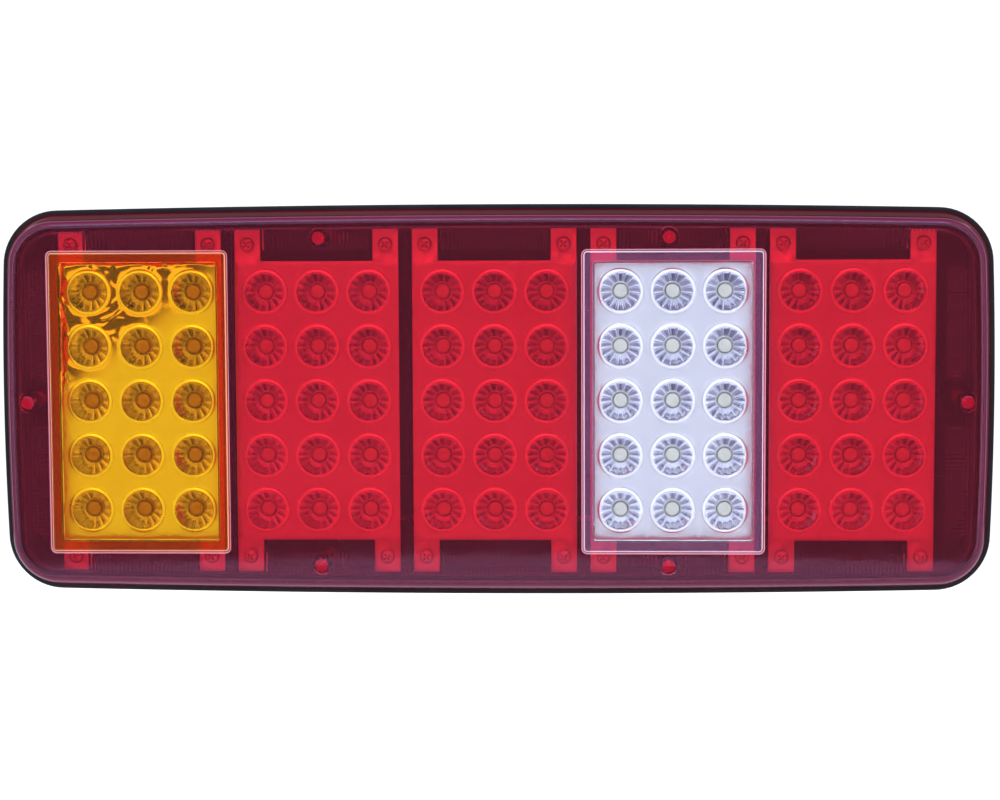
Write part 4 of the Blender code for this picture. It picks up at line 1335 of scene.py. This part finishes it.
def build_terminal(materials):
    low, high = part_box("terminal_block")
    centre_z = (low.z + high.z) / 2
    bm = bmesh.new()
    stations = [(0.0, low.y), (0.0, high.y - 0.4 * MM), (0.15 * MM, high.y - 0.12 * MM), (0.4 * MM, high.y)]
    slab(bm, (high.x - low.x) / 2, (high.z - low.z) / 2, 0.5 * MM, stations, 0.0, centre_z)
    wells = bmesh.new()
    for step in range(3):
        x = low.x + (high.x - low.x) * (step + 0.5) / 3
        turned(
            wells, [(1.7 * MM, high.y + 1 * MM), (1.7 * MM, high.y - 2 * MM)], 28, x, centre_z + 1.2 * MM
        )
        block(
            wells,
            around(x, 2.6 * MM),
            around((low.y + high.y) / 2, 2.2 * MM),
            (low.z - 1 * MM, low.z + 3 * MM),
        )
    mesh = combined(mesh_from(bm, "terminal_block_fine"), [("DIFFERENCE", wells)])
    shade(mesh)
    piece("terminal_block_fine", mesh, [materials["terminal"]], ["terminal_block"])


# ================================================================ studio
def make_floor():
    paint = Paint("pale_floor", Emission_Color=(1.0, 1.0, 1.0, 1.0), Emission_Strength=0.3)
    paint.drive(
        "Base Color",
        paint.blend(paint.mapped(paint.noise(300 * MM, 2.0), 0, 1), (0.86, 0.87, 0.88), (0.90, 0.90, 0.91)),
    )
    paint.drive("Roughness", paint.mapped(paint.noise(40 * MM, 3.0), 0.85, 0.95))
    bm = bmesh.new()
    bmesh.ops.create_circle(bm, cap_ends=True, segments=96, radius=2.4)
    mesh = mesh_from(bm, "floor")
    floor = bpy.data.objects.new("floor", mesh)
    floor.location.z = -0.42
    mesh.materials.append(paint.material)
    bpy.context.scene.collection.objects.link(floor)


# (degrees from straight in front, colour). The room brightens again towards straight behind.
ROOM_LIGHT = (
    (0, (1.70, 1.74, 1.84)),
    (58, (1.70, 1.74, 1.84)),
    (76, (0.50, 0.48, 0.56)),
    (88, (0.45, 0.42, 0.50)),
    (93, (2.60, 2.45, 2.75)),
    (106, (2.60, 2.45, 2.75)),
    (113, (0.06, 0.06, 0.07)),
    (180, (1.0, 1.0, 1.0)),
)
CALM_EDGE = 23                    # degrees from the calm patch's middle to where it starts
CALM_HEART = 13                   # and to where it is full
CALM_COLOUR = (0.16, 0.13, 0.22, 1)


def make_world():
    """A studio whose light depends on the angle from straight in front, as ROOM_LIGHT gives it.

    A calm patch in front keeps the lens clear of glare, and a bright ring behind draws its outline.
    """
    scene = bpy.context.scene
    world = bpy.data.worlds.new("studio")
    scene.world = world
    world.use_nodes = True
    tree = world.node_tree
    tree.nodes.clear()

    def add(kind, inputs=(), **settings):
        return add_node(tree, kind, inputs, **settings)

    direction = add("ShaderNodeTexCoord").outputs["Generated"]
    ahead = add("ShaderNodeSeparateXYZ", {"Vector": direction}).outputs["Y"]
    backward = add("ShaderNodeMath", {0: ahead, 1: -1.0}, operation="MULTIPLY").outputs[0]
    angle = add("ShaderNodeMath", {0: backward}, operation="ARCCOSINE").outputs[0]
    share = add("ShaderNodeMath", {0: angle, 1: math.pi}, operation="DIVIDE").outputs[0]
    ramp = add("ShaderNodeValToRGB", {"Fac": share})
    stops = ramp.color_ramp.elements
    for degrees, colour in ROOM_LIGHT:
        if degrees in (0, 180):
            stop = stops[0 if degrees == 0 else -1]
        else:
            stop = stops.new(degrees / 180)
        stop.color = (*colour, 1)
    flattened = add(
        "ShaderNodeVectorMath", {0: direction, 1: (1.0, 1.0, 1.9)}, operation="MULTIPLY"
    ).outputs["Vector"]
    unit = add("ShaderNodeVectorMath", {0: flattened}, operation="NORMALIZE").outputs["Vector"]
    facing = add(
        "ShaderNodeVectorMath",
        {0: unit, 1: Vector((-0.03, -1.0, -0.11)).normalized()},
        operation="DOT_PRODUCT",
    )
    calm = add("ShaderNodeMapRange", {
        "Value": facing.outputs["Value"],
        "From Min": math.cos(math.radians(CALM_EDGE)),
        "From Max": math.cos(math.radians(CALM_HEART)),
        "To Min": 0.0,
        "To Max": 1.0,
    }, interpolation_type="SMOOTHSTEP").outputs["Result"]
    colours = {0: calm, 6: ramp.outputs["Color"], 7: CALM_COLOUR}
    room = add("ShaderNodeMix", colours, data_type="RGBA").outputs[2]
    light = add("ShaderNodeBackground", {"Color": room, "Strength": 1.0})
    backdrop = add("ShaderNodeBackground", {"Color": (1.0, 1.0, 1.0, 1), "Strength": 1.1})
    seen = add("ShaderNodeLightPath").outputs["Is Camera Ray"]
    mixed = add("ShaderNodeMixShader", {0: seen, 1: light.outputs[0], 2: backdrop.outputs[0]})
    output = add("ShaderNodeOutputWorld")
    tree.links.new(mixed.outputs[0], output.inputs["Surface"])


def area_light(name, place, aim, size_x, size_y, power, colour):
    lamp = bpy.data.lights.new(name, "AREA")
    lamp.shape = "RECTANGLE"
    lamp.size = size_x
    lamp.size_y = size_y
    lamp.energy = power
    lamp.color = colour
    thing = bpy.data.objects.new(name, lamp)
    thing.location = place
    thing.rotation_euler = (Vector(aim) - Vector(place)).to_track_quat("-Z", "Y").to_euler()
    bpy.context.scene.collection.objects.link(thing)


def make_lights():
    area_light("front_softbox", (0.0, -1.3, 1.1), (0, 0, 0), 1.2, 0.6, 5, (1.0, 0.98, 1.0))
    area_light("back_softbox", (0.0, 1.8, 0.0), (0, 0, 0), 1.2, 0.8, 7, (0.98, 0.98, 1.0))
    for side in (-1, 1):
        area_light(
            f"corner_lamp_{side + 2}", (side * 0.92, 0.75, 0.92), (0, 0, 0), 0.5, 0.2, 1.2, (1.0, 0.93, 1.0)
        )


def make_camera():
    """The camera looks almost straight at the lens, a little from the right and from above."""
    azimuth = math.radians(2.36)
    elevation = math.radians(5.07)
    roll = math.radians(-0.25)
    distance = 861 * MM
    target = Vector((0.0, -16.6 * MM, 0.0))
    back = Vector((
        math.sin(azimuth) * math.cos(elevation),
        -math.cos(azimuth) * math.cos(elevation),
        math.sin(elevation),
    ))
    data = bpy.data.cameras.new("camera")
    data.lens = 87.0
    data.sensor_width = 36.0
    data.shift_x = 0.004
    data.shift_y = -0.0018
    data.clip_start = 0.05
    data.clip_end = 20
    camera = bpy.data.objects.new("camera", data)
    camera.location = target + back * distance
    facing = (-back).to_track_quat("-Z", "Y").to_matrix()
    camera.rotation_euler = (facing @ Matrix.Rotation(roll, 3, "Z")).to_euler()
    bpy.context.scene.collection.objects.link(camera)
    bpy.context.scene.camera = camera


def main():
    materials = make_materials()
    make_camera()
    make_world()
    make_lights()
    make_floor()
    build_housing(materials)
    build_seal(materials)
    build_lens(materials)
    build_windows(materials)
    build_reflectors(materials)
    build_boards(materials)
    build_reflector_screws(materials)
    build_lens_screws(materials)
    build_studs(materials)
    build_grommet(materials)
    build_vent(materials)
    build_wires(materials)
    build_terminal(materials)
    bpy.context.scene.view_settings.view_transform = "Standard"


main()
bpy.context.view_layer.update()
